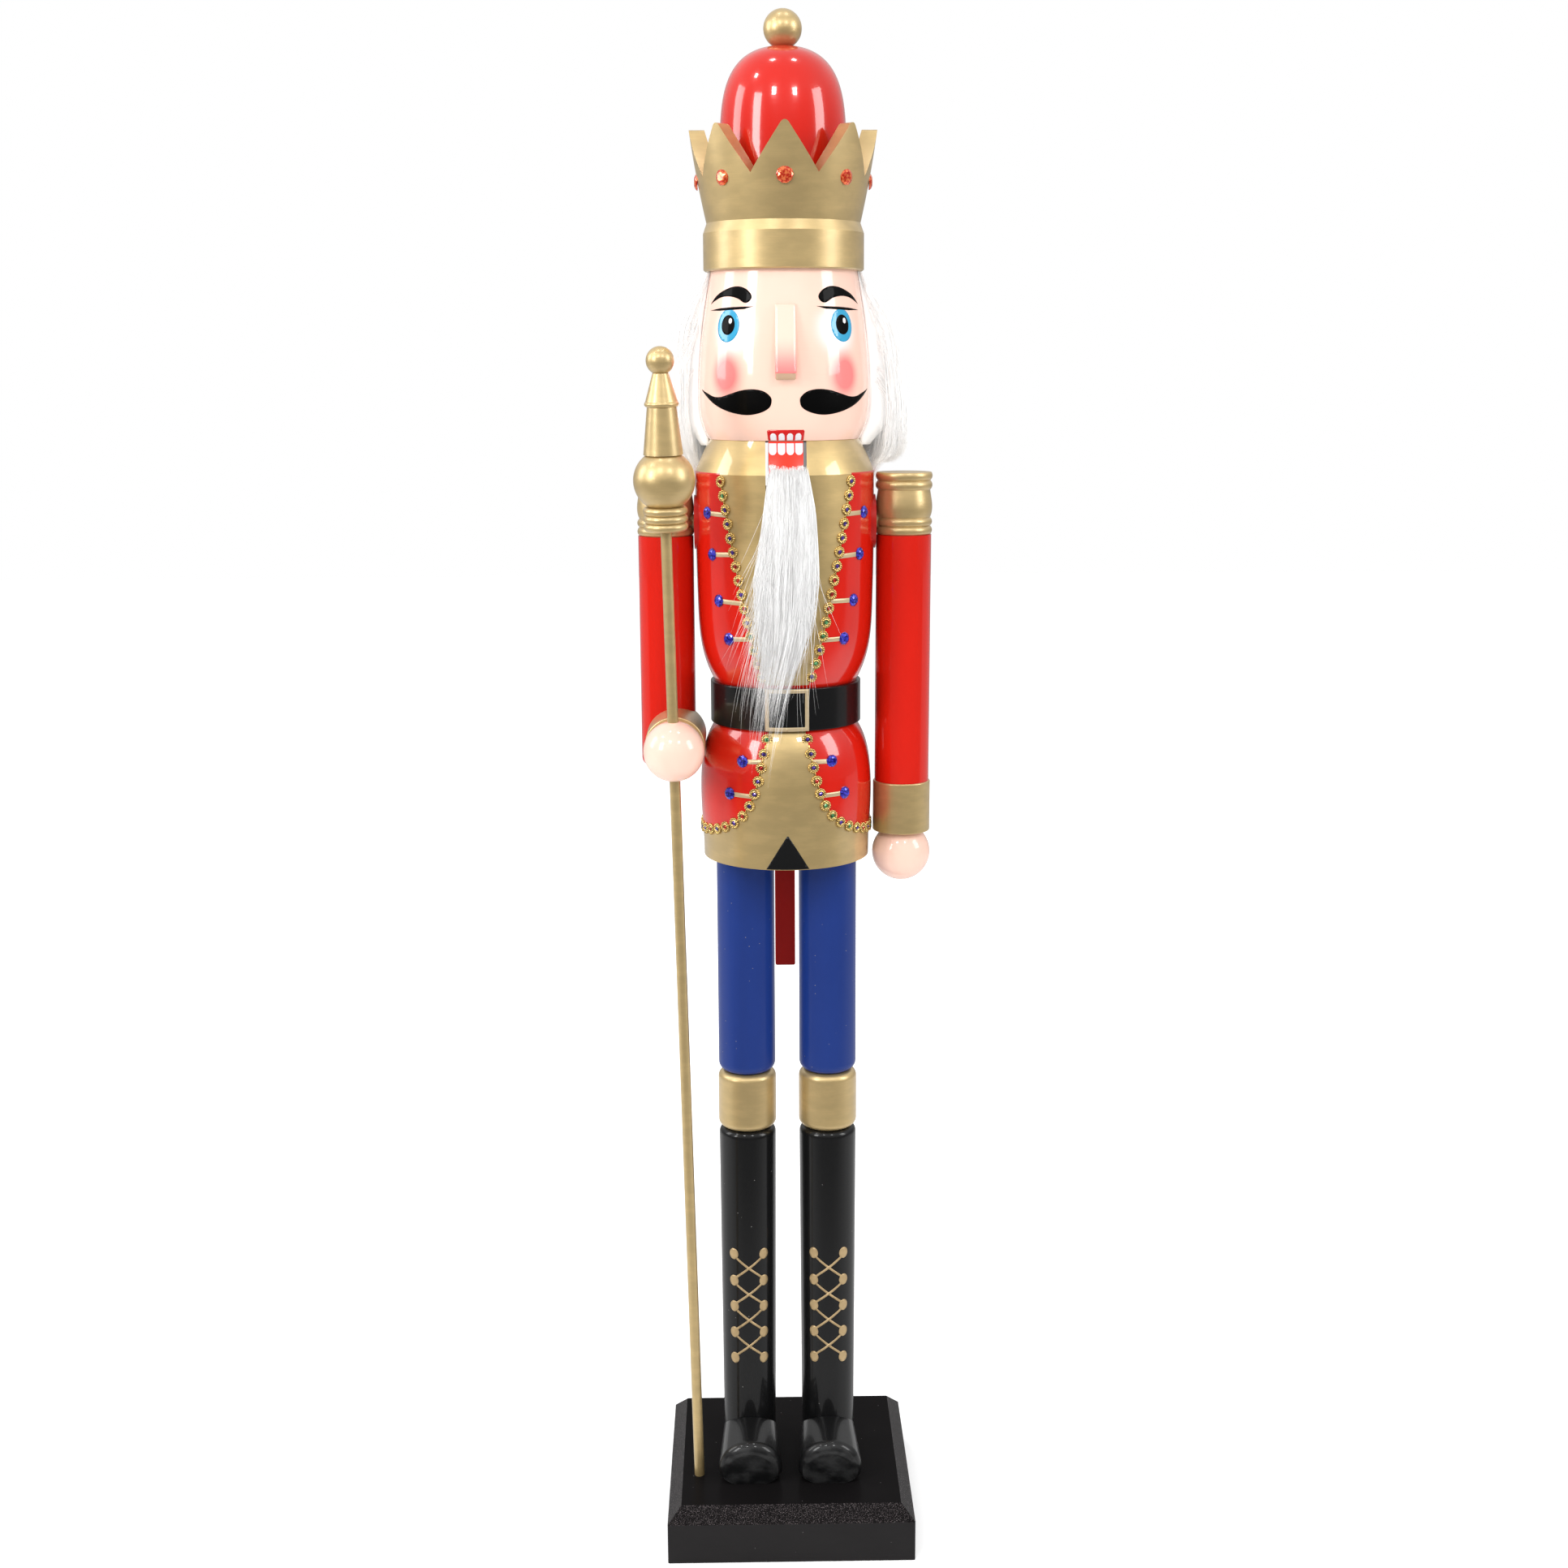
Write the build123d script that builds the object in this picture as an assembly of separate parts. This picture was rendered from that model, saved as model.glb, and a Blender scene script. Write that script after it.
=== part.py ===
from build123d import *

import os
from math import atan2, cos, degrees, radians, sin, tan

# A crowned wooden nutcracker figure with a sceptre, standing on a square block.
# Millimetres. +Z is up, the figure faces -Y, and its own left hand is at +X.
# The origin is the centre of the base block's underside.

# ---------------------------------------------------------------- driving dimensions

# Heights of the joints between the turned pieces, from the floor up
BASE_TOP = 45.4
BOOT_TOP = 340.0
KNEE_TOP = 388.5
HEM = 572.4
BELT_BOTTOM = 680.9
BELT_TOP = 713.8
JAW_LINE = 902.4
BROW_LINE = 1028.5
BAND_TOP = 1064.0
CROWN_VALLEY = 1096.6
CROWN_TIP = 1132.6
DOME_TOP = 1193.0
FIGURE_TOP = 1220.0

# Stand and legs
BASE_SIDE = 202.0
BASE_CHAMFER_WIDTH = 11.1
BASE_CHAMFER_HEIGHT = 11.6
LEG_X = 33.2
BOOT_FOOT_R = 21.8
BOOT_TOP_R = 23.4
KNEE_R = 23.8
THIGH_R = 23.3
TOE_BACK_R = 22.4
TOE_FRONT_R = 27.1
TOE_BACK_Z = 65.5
TOE_FRONT_Z = 56.0
TOE_FRONT_Y = -60.0

# Body
SKIRT_R = 67.9
BELT_R = 59.6
TORSO_R = 69.8
NECK_R = 57.8
HEAD_R = 66.1
SHOULDER_Z = 838.0
SEAT_X = 66.0
DISC_R = 21.0

# Mouth mechanism
SLOT_WIDTH = 31.0
SLOT_BOTTOM = 824.0
JAW_WIDTH = 26.0
JAW_TOP = JAW_LINE - 0.4
PIVOT_Z = 862.0
PIN_R = 4.0
HANDLE_WIDTH = 17.0
HANDLE_FRONT_Y = 72.4
HANDLE_THICKNESS = 12.0
HANDLE_BOTTOM = 455.0
BEARD_BACK_Y = 71.0
BEARD_THICKNESS = 9.0

# Arms: each is turned about its own axis, which hangs from the shoulder
SHOULDER_X = 93.4
LEFT_ARM_LEAN = 0.15
SLEEVE_R = 21.7
EPAULETTE_TOP = 876.0
EPAULETTE_BOTTOM = 827.6
RING_R = 22.2
LEFT_CUFF_TOP = 631.0
LEFT_CUFF_BOTTOM = 590.0
CUFF_R = 22.9
HAND_R = 23.3
LEFT_HAND_Z = 572.0
ELBOW_Z = 645.0
RIGHT_CUFF_R = 23.3
RIGHT_CUFF_FRONT_Y = -62.0
RIGHT_HAND = Vector(-86.8, -80.0, 670.0)

# Sceptre: its beads are threaded on one rod that passes through the right hand
SCEPTRE_TIP = Vector(-76.0, -41.6, BASE_TOP + 0.3)
ROD_R = 4.15

# Trim
FLORET_R = 4.5
FLORET_THICKNESS = 1.9
FLORET_PITCH = 10.8
HEM_FLORET_PITCH = 10.4
BUTTON_R = 5.0
CROWN_GEM_R = 6.4

# Hardware and fits
DOWEL_R = 6.0
WAIST_DOWEL_R = 9.0
TURNING_FIT = 0.05
SLIDING_FIT = 0.09
ARM_GAP = 0.4

FORWARD = Vector(0, -1, 0)
UP = Vector(0, 0, 1)


# ---------------------------------------------------------------- helpers


def turned(*side):
    """A solid turned on a lathe about Z. side holds edges in (radius, height), lowest first."""
    low = side[0] @ 0
    high = side[-1] @ 1
    closing = [
        Line((high.X, high.Y), (0, high.Y)),
        Line((0, high.Y), (0, low.Y)),
        Line((0, low.Y), (low.X, low.Y)),
    ]
    return revolve(make_face(Plane.XZ * Curve(children=[*side, *closing])), Axis.Z)


def round_edge(solid, height, radius):
    """Round the outermost circular edge that lies at the given height."""
    circles = solid.edges().filter_by(GeomType.CIRCLE)
    level = [edge for edge in circles if abs(edge.center().Z - height) < 0.01]
    return fillet(max(level, key=lambda edge: edge.radius), radius)


def rod(start, end, radius):
    """A round bar from one point to another."""
    start = Vector(*start)
    run = Vector(*end) - start
    bar = Cylinder(radius, run.length, align=(Align.CENTER, Align.CENTER, Align.MIN))
    return Plane(origin=start, z_dir=run) * bar


def block(x_range, y_range, z_range):
    """A rectangular block between two values on each axis."""
    size = [high - low for low, high in (x_range, y_range, z_range)]
    corner = (x_range[0], y_range[0], z_range[0])
    return Pos(*corner) * Box(*size, align=(Align.MIN, Align.MIN, Align.MIN))


def group(solids):
    """Separate like solids that share one node."""
    return Compound(children=list(solids))


def less(solid, *tools):
    """The solid with each tool's space cut out of it."""
    for tool in tools:
        solid = solid - tool
    return solid


def mirrored(solid):
    """The same piece on the figure's other side."""
    return mirror(solid, about=Plane.YZ)


def radius_at(side, height):
    """The radius of a lathe outline at a height, by halving the parameter range."""
    low, high = 0.0, 1.0
    for _ in range(30):
        middle = (low + high) / 2
        if (side @ middle).Y < height:
            low = middle
        else:
            high = middle
    return (side @ low).X


def facing(angle, radius, height):
    """A plane on the figure's round surface, facing out at an angle from the front towards +X."""
    out = Vector(sin(radians(angle)), -cos(radians(angle)), 0)
    return Plane(origin=out * radius + UP * height, x_dir=UP.cross(out), z_dir=out)


# ---------------------------------------------------------------- lathe outlines

SKIRT_SIDE = Spline((66.2, HEM), (SKIRT_R, 612.0), (67.2, 647.0), (62.7, 668.0), (56.0, BELT_BOTTOM))
TORSO_SIDE = Spline((56.4, BELT_TOP), (65.2, 737.0), (68.9, 776.0), (TORSO_R, 850.0), (69.7, 877.0))
TORSO_SHOULDER = ThreePointArc((69.7, 877.0), (64.4, 889.9), (NECK_R, JAW_LINE))
HEAD_SIDE = Spline((58.4, JAW_LINE), (65.2, 921.0), (HEAD_R, 940.0), (62.7, 987.0), (56.3, BROW_LINE))
CUP_SIDE = Spline((58.8, BAND_TOP), (62.7, 1082.0), (66.2, 1100.0), (71.4, CROWN_TIP))
CUP_BORE = Polyline((47.4, BAND_TOP), (49.0, CROWN_VALLEY - 4.0), (59.6, CROWN_TIP + 0.01))


# ---------------------------------------------------------------- stand and legs


def screw(x, y):
    """A countersunk wood screw standing head down in the base block."""
    outline = Polyline((5.0, 4.0), (2.5, 7.5), (2.5, 58.0), (0.4, 64.0))
    return Pos(x, y, 0) * turned(outline)


def screw_hole(x, y):
    """The counterbore and shank hole that a screw stands in."""
    counterbore = Pos(x, y, 0) * Cylinder(6.0, 4.0, align=(Align.CENTER, Align.CENTER, Align.MIN))
    return counterbore + screw(x, y)


SCREW_PLACES = [(side * LEG_X, y) for side in (-1, 1) for y in (0.0, -42.0)]


def base_block():
    """The square block with a wide chamfer round its top and four screw holes beneath."""
    side_height = BASE_TOP - BASE_CHAMFER_HEIGHT
    top_side = BASE_SIDE - 2 * BASE_CHAMFER_WIDTH
    foot = extrude(RectangleRounded(BASE_SIDE, BASE_SIDE, 1.5), side_height)
    lower = Plane.XY.offset(side_height) * RectangleRounded(BASE_SIDE, BASE_SIDE, 1.5)
    upper = Plane.XY.offset(BASE_TOP) * RectangleRounded(top_side, top_side, 1.0)
    body = foot + loft([lower, upper])
    return less(body, *[screw_hole(x, y) for x, y in SCREW_PLACES])


def boot():
    """A slightly tapering turned boot with a rounded top."""
    body = turned(Line((BOOT_FOOT_R, BASE_TOP), (BOOT_TOP_R, BOOT_TOP)))
    return Pos(LEG_X, 0, 0) * round_edge(body, BOOT_TOP, 6.0)


def knee_band():
    """A short turned band with rounded ends."""
    body = turned(Line((KNEE_R, BOOT_TOP), (KNEE_R, KNEE_TOP)))
    for end in (BOOT_TOP, KNEE_TOP):
        body = round_edge(body, end, 6.0)
    return Pos(LEG_X, 0, 0) * body


def thigh():
    """A turned trouser leg that butts against the skirt."""
    body = turned(Line((THIGH_R, KNEE_TOP), (THIGH_R, HEM)))
    return Pos(LEG_X, 0, 0) * round_edge(body, KNEE_TOP, 7.5)


def sole_corners():
    """What is rounded off a shoe's lower corners, beside an oval that dips into the base."""
    oval = extrude(Plane.XZ * Pos(LEG_X, 63.4) * Ellipse(30.0, 20.0), 120, both=True)
    return block((LEG_X - 32, LEG_X + 32), (-90, 0), (BASE_TOP - 1, 60)) - oval


def shoe():
    """A tapered turned log lying forwards, flat beneath and coped to the boot."""
    run = Vector(0, TOE_FRONT_Y, TOE_FRONT_Z - TOE_BACK_Z)
    log = turned(Line((TOE_BACK_R, 0), (TOE_FRONT_R, run.length)))
    log = round_edge(log, run.length, 8.0)
    log = Plane(origin=(LEG_X, 0, TOE_BACK_Z), z_dir=run) * log
    below = block((0, 90), (-90, 40), (0, BASE_TOP))
    return less(log, below, sole_corners(), boot())


def legs():
    """Both legs and what fastens them to the base and the skirt."""
    knee_dowel = rod((LEG_X, 0, 312), (LEG_X, 0, 416), DOWEL_R)
    hip_dowel = rod((LEG_X, 0, 540), (LEG_X, 0, 604), DOWEL_R)
    shoe_dowel = rod((LEG_X, -6, 66), (LEG_X, -36, 66), 4.0)
    screws = [screw(x, y) for x, y in SCREW_PLACES]
    pieces = {
        "boot": less(boot(), knee_dowel, shoe_dowel, *screws),
        "knee_band": less(knee_band(), knee_dowel),
        "thigh": less(thigh(), knee_dowel, hip_dowel),
        "shoe": less(shoe(), shoe_dowel, *screws),
    }
    nodes = {"base_block": base_block(), "leg_screws": group(screws)}
    for name, piece in pieces.items():
        nodes["left_" + name] = piece
        nodes["right_" + name] = mirrored(piece)
    for name, dowel in (("knee", knee_dowel), ("hip", hip_dowel), ("shoe", shoe_dowel)):
        nodes[name + "_dowels"] = group([dowel, mirrored(dowel)])
    return nodes


# ---------------------------------------------------------------- coat and torso


def shoulder_dowel():
    """The dowel that an arm turns on, glued in the torso and running into the arm."""
    return rod((40, 0, SHOULDER_Z), (SHOULDER_X + 12, 0, SHOULDER_Z), DOWEL_R)


def shoulder_seat():
    """The flat spot bored into the torso for a shoulder disc."""
    return rod((SEAT_X, 0, SHOULDER_Z), (SEAT_X + 30, 0, SHOULDER_Z), DISC_R)


def shoulder_disc():
    """The spacer between the torso's flat spot and the arm."""
    outer_x = SHOULDER_X - RING_R - ARM_GAP
    disc = rod((SEAT_X, 0, SHOULDER_Z), (outer_x, 0, SHOULDER_Z), DISC_R)
    return less(disc, shoulder_dowel())


def jaw_slot():
    """The saw cut through the torso from front to back, open at the top."""
    half = SLOT_WIDTH / 2
    return block((-half, half), (-90, 90), (SLOT_BOTTOM, JAW_LINE + 10))


def pivot_pin():
    """The cross pin, pushed in from the left shoulder's flat spot."""
    return rod((-45, 0, PIVOT_Z), (SEAT_X, 0, PIVOT_Z), PIN_R)


def neck_dowel():
    """A dowel between torso and head, beside the slot."""
    return rod((38, 0, 872), (38, 0, 930), DOWEL_R)


def body():
    """Skirt, belt and torso, threaded on one thick dowel."""
    waist_dowel = rod((0, 0, 650), (0, 0, 752), WAIST_DOWEL_R)
    hip_dowel = rod((LEG_X, 0, 540), (LEG_X, 0, 604), DOWEL_R)
    skirt = turned(SKIRT_SIDE)
    belt = turned(Line((BELT_R, BELT_BOTTOM), (BELT_R, BELT_TOP)))
    for end in (BELT_BOTTOM, BELT_TOP):
        belt = round_edge(belt, end, 0.8)
    torso = less(turned(TORSO_SIDE, TORSO_SHOULDER), waist_dowel, jaw_slot(), pivot_pin())
    for tool in (shoulder_seat(), shoulder_dowel(), neck_dowel()):
        torso = less(torso, tool, mirrored(tool))
    disc = shoulder_disc()
    dowel = shoulder_dowel()
    return {
        "coat_skirt": less(skirt, waist_dowel, hip_dowel, mirrored(hip_dowel)),
        "belt_disc": less(belt, waist_dowel),
        "waist_dowel": waist_dowel,
        "torso": torso,
        "left_shoulder_disc": disc,
        "right_shoulder_disc": mirrored(disc),
        "shoulder_dowels": group([dowel, mirrored(dowel)]),
        "jaw_pivot_pin": pivot_pin(),
        "neck_dowels": group([neck_dowel(), mirrored(neck_dowel())]),
    }


# ---------------------------------------------------------------- mouth mechanism


def side_sawn(points, width):
    """A board cut to an outline in (y, z) and centred on the figure's middle plane."""
    face = make_face(Plane.YZ * Polyline(*points, close=True))
    return extrude(face, width / 2, both=True)


def jaw_block():
    """The lower jaw and the arm that carries it through the slot and over the pin."""
    outline = [
        (-75.0, JAW_TOP),
        (-37.0, JAW_TOP),
        (-14.0, 875.0),
        (HANDLE_FRONT_Y, 867.0),
        (HANDLE_FRONT_Y, 843.0),
        (-14.0, 846.0),
        (-75.0, 846.0),
    ]
    lever = side_sawn(outline, JAW_WIDTH)
    front = turned(TORSO_SIDE, TORSO_SHOULDER) + block((-20, 20), (0, 90), (800, 900))
    return (lever & front) - rod((-40, 0, PIVOT_Z), (40, 0, PIVOT_Z), PIN_R + TURNING_FIT)


def lever_handle():
    """The long board down the back, with its sawn edges eased."""
    half = HANDLE_WIDTH / 2
    back_y = HANDLE_FRONT_Y + HANDLE_THICKNESS
    board = block((-half, half), (HANDLE_FRONT_Y, back_y), (HANDLE_BOTTOM, 867.0))
    corners = board.edges().filter_by(Axis.Y).group_by(Axis.Z)[0]
    board = fillet(corners, 1.5)
    long_edges = board.edges().filter_by(Axis.Z)
    return fillet(long_edges, 1.2)


def lever_screw(height):
    """A countersunk screw through the handle into the jaw's arm."""
    head_y = HANDLE_FRONT_Y + HANDLE_THICKNESS
    outline = Polyline((3.6, 0.0), (1.75, 2.4), (1.75, 30.0), (0.3, 34.0))
    return Plane(origin=(0, head_y, height), z_dir=FORWARD) * turned(outline)


def beard():
    """The glued strip of long fur, as a plain tapering slab hanging just clear of the coat."""
    right = [(12.5, 880), (25, 838), (20, 760), (15, 716), (6, 668)]
    points = right + [(-x, z) for x, z in reversed(right)]
    face = make_face(Plane.XZ.offset(BEARD_BACK_Y) * Polyline(*points, close=True))
    return extrude(face, BEARD_THICKNESS, dir=FORWARD)


def mouth():
    """Everything that turns on the jaw's pin."""
    screws = [lever_screw(849.0), lever_screw(861.0)]
    return {
        "jaw_block": less(jaw_block(), *screws),
        "lever_handle": less(lever_handle(), *screws),
        "lever_screws": group(screws),
        "beard": beard(),
    }


# ---------------------------------------------------------------- head and crown


def nose_dowel():
    """The small dowel behind the nose."""
    return rod((0, -52, 968), (0, -70, 968), 3.0)


def nose():
    """A wedge that grows forwards as it goes down, with its underside cut back upwards."""
    outline = [(-40, 1002.5), (-62.0, 1002.5), (-78.0, 952.0), (-62.0, 946.0), (-40, 946.0)]
    wedge = side_sawn(outline, 15.6)
    front = wedge.edges().filter_by(lambda edge: edge.center().Y < -61.0)
    wedge = fillet(front, 1.6)
    return less(wedge, turned(HEAD_SIDE), nose_dowel())


def hair():
    """The fur round the sides and back of the head, as one plain closed solid."""
    outer = Spline((62.0, BROW_LINE), (78.0, 995.0), (86.0, 950.0), (87.0, 915.0), (80.0, 896.0))
    inner_foot = Line((80.0, 896.0), (40.0, 896.0))
    closing = [Line((40.0, 896.0), (40.0, BROW_LINE)), Line((40.0, BROW_LINE), (62.0, BROW_LINE))]
    ring = revolve(make_face(Plane.XZ * Curve(children=[outer, inner_foot, *closing])), Axis.Z)
    face_side = block((-120, 120), (-120, -8), (800, 1100))
    return less(ring, face_side, turned(HEAD_SIDE), turned(TORSO_SIDE, TORSO_SHOULDER))


def notch_face(distance):
    """A crown notch's outline, rounded where it meets the tips, at a distance from the axis."""
    half = distance * tan(radians(22.5))
    bend = (0.8855 * half, CROWN_TIP - 1.64)
    past = 1.02 * half
    top = CROWN_TIP + 6
    right = [
        Line((0, CROWN_VALLEY), bend),
        ThreePointArc(bend, (0.936 * half, CROWN_TIP - 0.43), (half, CROWN_TIP)),
        Line((half, CROWN_TIP), (past, CROWN_TIP)),
        Line((past, CROWN_TIP), (past, top)),
    ]
    left = [mirror(edge, about=Plane.YZ) for edge in right]
    lid = Line((past, top), (-past, top))
    return make_face(Plane.XZ.offset(distance) * Curve(children=[*right, lid, *left]))


def crown_cup():
    """The flaring cup, bored out, with eight points sawn round its rim."""
    cup = turned(CUP_SIDE) - turned(*CUP_BORE.edges())
    notch = loft([notch_face(38.0), notch_face(90.0)], ruled=True)
    for turn in range(8):
        cup = cup - Rot(0, 0, 22.5 + 45 * turn) * notch
    return cup


def crown_gem(turn):
    """A round stone glued on the cup below one of its points."""
    height = 1095.0
    stone = Cylinder(CROWN_GEM_R, 4.0, align=(Align.CENTER, Align.CENTER, Align.MIN))
    dome = fillet(stone.edges().sort_by(Axis.Z)[-1], 2.4)
    flare = degrees(atan2(12.6, CROWN_TIP - BAND_TOP))
    seat = facing(45 * turn, radius_at(CUP_SIDE, height) - 1.2, height) * Rot(flare, 0, 0)
    return less(seat * dome, turned(CUP_SIDE))


def head():
    """Head, crown, cap and finial, stacked on the neck."""
    cap_dowel = rod((0, 0, 1000), (0, 0, 1100), DOWEL_R)
    finial_dowel = rod((0, 0, 1172), (0, 0, 1206), 3.0)
    band_side = Polyline((60.4, BROW_LINE), (61.5, BROW_LINE + 1.1), (61.5, 1056.4), (58.8, BAND_TOP))
    dome_side = Spline(
        (43.0, BAND_TOP),
        (47.9, 1128.0),
        (40.3, 1171.0),
        (0.5, DOME_TOP),
        tangents=[(0.25, 1.0), (-1.0, 0.0)],
    )
    finial_r = (FIGURE_TOP - DOME_TOP + 2) / 2
    finial = Pos(0, 0, FIGURE_TOP - finial_r) * Sphere(finial_r)
    dome = turned(dome_side)
    skull = less(turned(HEAD_SIDE), cap_dowel, neck_dowel(), mirrored(neck_dowel()), nose_dowel())
    return {
        "head": skull,
        "nose": nose(),
        "nose_dowel": nose_dowel(),
        "hair": hair(),
        "crown_band": less(turned(band_side), cap_dowel),
        "crown_cup": crown_cup(),
        "crown_gems": group(crown_gem(turn) for turn in range(8)),
        "cap_dome": less(dome, cap_dowel, finial_dowel),
        "cap_dowel": cap_dowel,
        "finial_ball": less(finial, dome, finial_dowel),
        "finial_dowel": finial_dowel,
    }


# ---------------------------------------------------------------- arms


def epaulette():
    """The ringed shoulder piece, turned about the arm's axis."""
    groove = RING_R - 1.7
    first = ThreePointArc((groove, EPAULETTE_BOTTOM), (RING_R, 831.0), (groove, 834.4))
    second = ThreePointArc((groove, 834.4), (RING_R, 837.6), (groove, 840.8))
    barrel = Spline((groove, 840.8), (RING_R, 848.6), (RING_R - 0.7, 856.0), (groove, 862.4))
    third = ThreePointArc((groove, 862.4), (RING_R, 866.0), (groove, 869.6))
    fourth = ThreePointArc((groove, 869.6), (RING_R, 872.8), (RING_R - 0.9, EPAULETTE_TOP))
    return turned(first, second, barrel, third, fourth)


def left_arm():
    """The hanging arm, built about a vertical axis at x = 0 and then leaned in at the hand."""
    turning_hole = rod((-40, 0, SHOULDER_Z), (12, 0, SHOULDER_Z), DOWEL_R + TURNING_FIT)
    upper_dowel = rod((0, 0, 800), (0, 0, 829), DOWEL_R)
    wrist_dowel = rod((0, 0, 570), (0, 0, 650), DOWEL_R)
    sleeve = turned(Line((SLEEVE_R, LEFT_CUFF_TOP), (SLEEVE_R, EPAULETTE_BOTTOM)))
    cuff = turned(Line((CUFF_R, LEFT_CUFF_BOTTOM), (CUFF_R, LEFT_CUFF_TOP)))
    for end in (LEFT_CUFF_BOTTOM, LEFT_CUFF_TOP):
        cuff = round_edge(cuff, end, 1.0)
    hand = Pos(0, 0, LEFT_HAND_Z) * Sphere(HAND_R)
    above_wrist = block((-40, 40), (-40, 40), (LEFT_CUFF_BOTTOM, LEFT_CUFF_TOP))
    pieces = {
        "left_epaulette": less(epaulette(), upper_dowel),
        "left_sleeve": less(sleeve, upper_dowel, wrist_dowel),
        "left_cuff": less(cuff, wrist_dowel),
        "left_hand": less(hand, above_wrist, wrist_dowel),
        "left_arm_dowels": group([upper_dowel, wrist_dowel]),
    }
    hang = Pos(SHOULDER_X, 0, SHOULDER_Z) * Rot(0, LEFT_ARM_LEAN, 0) * Pos(0, 0, -SHOULDER_Z)
    placed = {name: hang * piece for name, piece in pieces.items()}
    placed["left_epaulette"] -= Pos(SHOULDER_X, 0, 0) * turning_hole
    return placed


def right_arm():
    """The arm that holds the sceptre: an upright sleeve and a cuff that points forwards."""
    turning_hole = rod((-SHOULDER_X - 12, 0, SHOULDER_Z), (0, 0, SHOULDER_Z), DOWEL_R + TURNING_FIT)
    upper_dowel = rod((-SHOULDER_X, 0, 800), (-SHOULDER_X, 0, 829), DOWEL_R)
    wrist = Vector(RIGHT_HAND.X, 0, RIGHT_HAND.Z)
    elbow_dowel = rod(wrist + FORWARD * 2, wrist + FORWARD * 70, DOWEL_R)
    sleeve = turned(Line((SLEEVE_R, ELBOW_Z), (SLEEVE_R, EPAULETTE_BOTTOM)))
    sleeve = Pos(-SHOULDER_X, 0, 0) * round_edge(sleeve, ELBOW_Z, 6.0)
    cuff = rod(wrist, wrist - FORWARD * RIGHT_CUFF_FRONT_Y, RIGHT_CUFF_R)
    cuff = fillet(cuff.edges().sort_by(Axis.Y)[0], 1.0)
    hand = Pos(*RIGHT_HAND) * Sphere(HAND_R)
    behind_wrist = block((-130, -40), (RIGHT_CUFF_FRONT_Y, 0), (600, 740))
    rod_hole = rod(along_sceptre(600), along_sceptre(650), ROD_R + SLIDING_FIT)
    return {
        "right_epaulette": less(Pos(-SHOULDER_X, 0, 0) * epaulette(), upper_dowel, turning_hole),
        "right_upper_arm": less(sleeve, upper_dowel, elbow_dowel),
        "right_cuff": less(cuff, sleeve, elbow_dowel),
        "right_hand": less(hand, behind_wrist, elbow_dowel, rod_hole),
        "right_arm_dowels": group([upper_dowel, elbow_dowel]),
    }


# ---------------------------------------------------------------- sceptre


def along_sceptre(distance):
    """The point on the sceptre's axis at a distance from its tip."""
    return SCEPTRE_TIP + (RIGHT_HAND - SCEPTRE_TIP).normalized() * distance


def sceptre():
    """The rod and the turned beads threaded on its upper end, measured from the tip."""
    collar_foot = 794.4
    ball_foot = 812.0
    taper_foot = 850.3
    cone_foot = 885.0
    finial_foot = 909.0
    top = 928.4
    ball_r = 22.9
    ball_middle = 831.2
    spine = rod((0, 0, 0), (0, 0, finial_foot + 6), ROD_R)
    ring = (ball_foot - collar_foot) / 3
    rings = []
    for count in range(3):
        foot = collar_foot + count * ring
        rings.append(ThreePointArc((14.6, foot), (16.6, foot + ring / 2), (14.6, foot + ring)))
    slab = rod((0, 0, ball_foot), (0, 0, taper_foot), 30)
    finial_r = (top - finial_foot + 1.4) / 2
    finial = Pos(0, 0, top - finial_r) * Sphere(finial_r)
    above_cone = rod((0, 0, finial_foot), (0, 0, top + 5), 20)
    rim = ThreePointArc((11.4, cone_foot), (12.7, cone_foot + 1.8), (11.9, cone_foot + 3.6))
    beads = {
        "sceptre_rod": spine,
        "sceptre_collar": turned(*rings),
        "sceptre_ball": Pos(0, 0, ball_middle) * Sphere(ball_r) & slab,
        "sceptre_taper": turned(Line((14.7, taper_foot), (10.8, cone_foot))),
        "sceptre_cone": turned(rim, Line((11.9, cone_foot + 3.6), (5.9, finial_foot))),
        "sceptre_finial": finial & above_cone,
    }
    stand = Plane(origin=SCEPTRE_TIP, x_dir=(1, 0, 0), z_dir=RIGHT_HAND - SCEPTRE_TIP)
    return {name: stand * (bead if bead is spine else bead - spine) for name, bead in beads.items()}


# ---------------------------------------------------------------- trim


def stud(angle, side, height, radius, thickness, seat):
    """A flat round trim piece glued on a lathe-turned surface."""
    sunk = 1.0
    disc = Cylinder(radius, thickness + sunk, align=(Align.CENTER, Align.CENTER, Align.MIN))
    return facing(angle, radius_at(side, height) - sunk, height) * disc - seat


def spaced(path, pitch):
    """(angle, height) places at a steady pitch along a path drawn on the unrolled coat."""
    count = int(path.length / pitch)
    return [path @ ((place + 0.5) / count) for place in range(count)]


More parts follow.
